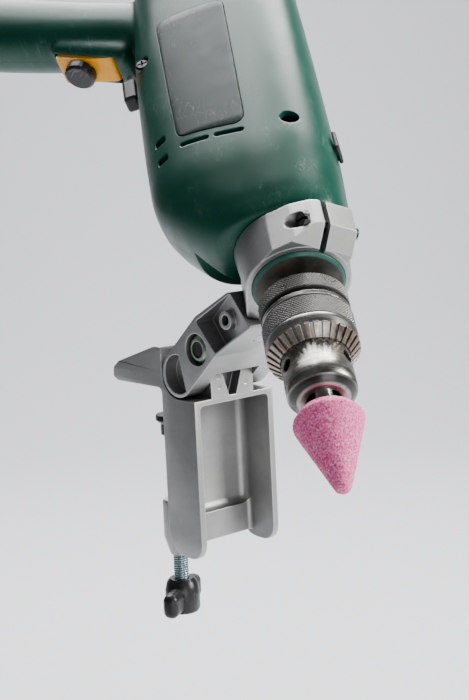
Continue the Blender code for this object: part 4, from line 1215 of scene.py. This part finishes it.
def make_casing():
    smooth_body = fine_stations(BODY, 6.0)
    body = loft(smooth_body, 0.0, 96)
    grip = in_grip(loft(fine_stations(GRIP, 8.0), 0.0, 72))
    guard = in_grip(soften(box((4.0, 20.5), (-12.5, 12.5), (-4.5, 46.0)), 5.0, 4))
    outer = smooth_blend(join(body, grip, guard), 1.3, 14)
    inner = join(loft(hollow(BODY, WALL, 12.0), 2.6, 48), in_grip(loft(hollow(GRIP, WALL, WALL), 2.6, 48)))
    cut(inner, toward_arm(24.2, -60.0, 0.0))
    cut(outer, inner)
    cut(
        outer,
        rod(NECK_RADIUS + GAP, (0, 0, -40), (0, 0, 1), 30, sides=FINE),
        in_grip(box((5.0, 40.0), (-9.2, 9.2), (-1.0, 38.5))),
        in_grip(rod(5.3, (-4.0, 0, -100), (0, 0, 1), 20)),
        box((48.0, 66.0), (-2.4, 2.4), (-179.0, -171.0)),
        box((61.5, 72.0), (-7.5, 7.5), (-184.0, -158.5)),
        box((-36.0, -24.0), (-3.4, 3.4), (-82.0, -65.4)),
    )
    cut(outer, toward_arm(26.6, -36.0, -18.0))
    for name, side in (("right", -1), ("left", 1)):
        half = twin(outer)
        away = sorted((side * -0.10, side * -60.0))
        cut(half, box((-80, 260), away, (-340, 20)))
        flank = sorted((side * 20.0, side * 45.0))
        recess = prism(panel_outline(GAP), *flank, "XZ")
        cut(recess, loft(smooth_body, 1.9, 96))
        slots = [(6.0, 20.8, -80.6, -77.4, 2.2), (23.2, 38.0, -82.8, -79.6, 2.2)]
        slots += [(45.0, 51.0, rear, rear + 5.2, 0.0) for rear in (-95.0, -82.0)]
        slots += [(10.0, 36.0, rear, rear + 4.0, 0.0) for rear in (-214.0, -222.0)]
        tools = []
        for low, high, rear, front, slant in slots:
            corners = [(low, rear + slant), (high, rear), (high, front), (low, front + slant)]
            outline = rounded([(x, z, 1.4) for x, z in corners], 4)
            tools.append(prism(outline, *sorted((side * 18.0, side * 45.0)), "XZ"))
        cut(half, recess, *tools)
        if side < 0:
            for x, z in SCREWS:
                cut(half, rod(4.4, (x, -45, z), (0, 1, 0), 24 if x < 100 else 33))
                cut(half, rod(2.3, (x, -45, z), (0, 1, 0), 60, sides=32))
        show(half, f"casing_{name}", AT_DRILL, "drill", GREEN_LOOK, f"housing_{name}")
        panel = prism(panel_outline(0.0), *flank, "XZ")
        keep(panel, loft(smooth_body, -0.3, 96))
        cut(panel, loft(smooth_body, 1.6, 96))
        soften(panel, 0.35, 2, 50.0)
        show(panel, f"flank_panel_{name}", AT_DRILL, "drill", PANEL_LOOK, f"side_panel_{name}")
    bpy.data.objects.remove(outer)


def make_neck():
    profile = [
        (7.2, 2.0), (19.9, 2.0), (20.5, 1.8), (NECK_RADIUS, 0.6), (NECK_RADIUS, -29.0),
        (18.5, -29.6), (18.5, -52.0), (16.6, -52.0), (16.6, -12.0), (7.2, -12.0),
    ]
    neck = turned(profile, steps=FINE, closed=True)
    show(neck, "neck_painted", AT_DRILL, "drill", NECK_LOOK, "neck_housing")


LOOKS = {
    "hinge_pin": STEEL_LOOK,
    "pinch_washer": ZINC_LOOK,
    "swivel_lock_screw": DARK_STEEL_LOOK,
    "cable_inlet": BLACK_LOOK,
    "bearing_plate": CAST_LOOK,
    "rear_bearing_bracket": BLACK_LOOK,
    "commutator": COPPER_LOOK,
    "cooling_fan": BLACK_LOOK,
    "brush_right": BLACK_LOOK,
    "brush_left": BLACK_LOOK,
    "switch_body": BLACK_LOOK,
    "trigger": ORANGE_LOOK,
    "speed_wheel": BLACK_LOOK,
    "reversing_lever": BLACK_LOOK,
    "mode_selector": BLACK_LOOK,
}


def dress_cad():
    """Give every CAD node that stays its material."""
    for name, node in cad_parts.items():
        look = LOOKS.get(name, DARK_STEEL_LOOK if name.startswith("housing_screw") else STEEL_LOOK)
        node.data.materials.clear()
        node.data.materials.append(look)


# Stage, light and camera


SENSOR = 36.0
LENS = 77.472
CAMERA_PLACE = (-473.47, -612.55, 136.51)
CAMERA_RIGHT = (0.75765, -0.65089, -0.04805)
CAMERA_UP = (0.14006, 0.09024, 0.98602)
CAMERA_BACK = (-0.63745, -0.75379, 0.15954)
STAGE_HEIGHT = -0.42
STAGE_TURN = -math.radians(40.2)


def make_stage():
    work = bmesh.new()
    profile = [(-3.0, STAGE_HEIGHT), (1.6, STAGE_HEIGHT)]
    for step in range(1, 13):
        angle = math.radians(90 * step / 12)
        profile.append((1.6 + 0.9 * math.sin(angle), STAGE_HEIGHT + 0.9 * (1 - math.cos(angle))))
    profile.append((2.5, 4.0))
    rows = []
    for along, height in profile:
        rows.append([work.verts.new((side, along, height)) for side in (-5.0, 5.0)])
    for below, above in zip(rows, rows[1:]):
        work.faces.new((below[0], below[1], above[1], above[0]))
    mesh = bpy.data.meshes.new("floor")
    work.to_mesh(mesh)
    work.free()
    floor = bpy.data.objects.new("floor", mesh)
    bpy.context.scene.collection.objects.link(floor)
    floor.rotation_euler = (0, 0, STAGE_TURN)
    floor.data.shade_smooth()
    look = Look("pale_floor", 0.8, 0.0)
    look.shader.inputs["Base Color"].default_value = (0.60, 0.605, 0.63, 1.0)
    floor.data.materials.append(look.material)


def area_light(name, location, target, size, power, colour=(1, 1, 1), tall=None):
    data = bpy.data.lights.new(name, "AREA")
    data.energy = power
    data.color = colour
    data.size = size
    if tall:
        data.shape = "RECTANGLE"
        data.size_y = tall
    lamp = bpy.data.objects.new(name, data)
    bpy.context.scene.collection.objects.link(lamp)
    lamp.location = location
    aim = Vector(target) - Vector(location)
    lamp.rotation_euler = aim.to_track_quat("-Z", "Y").to_euler()


def make_light():
    world = bpy.data.worlds.new("studio")
    world.use_nodes = True
    sky = world.node_tree.nodes["Background"]
    sky.inputs["Color"].default_value = (0.80, 0.82, 0.88, 1.0)
    sky.inputs["Strength"].default_value = 0.13
    bpy.context.scene.world = world
    centre = (-0.03, -0.12, 0.03)
    area_light("key", (0.75, -0.95, 0.50), centre, 0.40, 27.0, (1.0, 0.99, 0.97), 0.60)
    area_light("top", (0.60, 0.20, 0.95), centre, 0.45, 14.0, (1.0, 0.99, 0.97))
    area_light("front", (-0.35, -1.15, -0.05), centre, 0.60, 5.0, (0.98, 0.985, 1.0))
    area_light("floor_glow", (0.5, 0.7, 1.1), (0.5, 0.7, -0.42), 1.2, 62.0, (0.99, 0.99, 1.0))
    area_light("backdrop", (0.9, 0.9, 1.6), (1.7, 2.0, 0.2), 1.6, 24.0, (0.97, 0.98, 1.0))


def make_camera():
    data = bpy.data.cameras.new("camera")
    data.sensor_width = SENSOR
    data.lens = LENS
    data.clip_start = 0.02
    data.clip_end = 50.0
    camera = bpy.data.objects.new("camera", data)
    bpy.context.scene.collection.objects.link(camera)
    camera.matrix_world = axes_matrix(CAMERA_PLACE, (CAMERA_RIGHT, CAMERA_UP, CAMERA_BACK))
    bpy.context.scene.camera = camera


make_stage()
make_light()
make_camera()
dress_cad()
make_clamp()
make_clamp_hardware()
make_arm()
make_collar()
make_chuck()
make_sleeve()
make_stone()
make_casing()
make_neck()
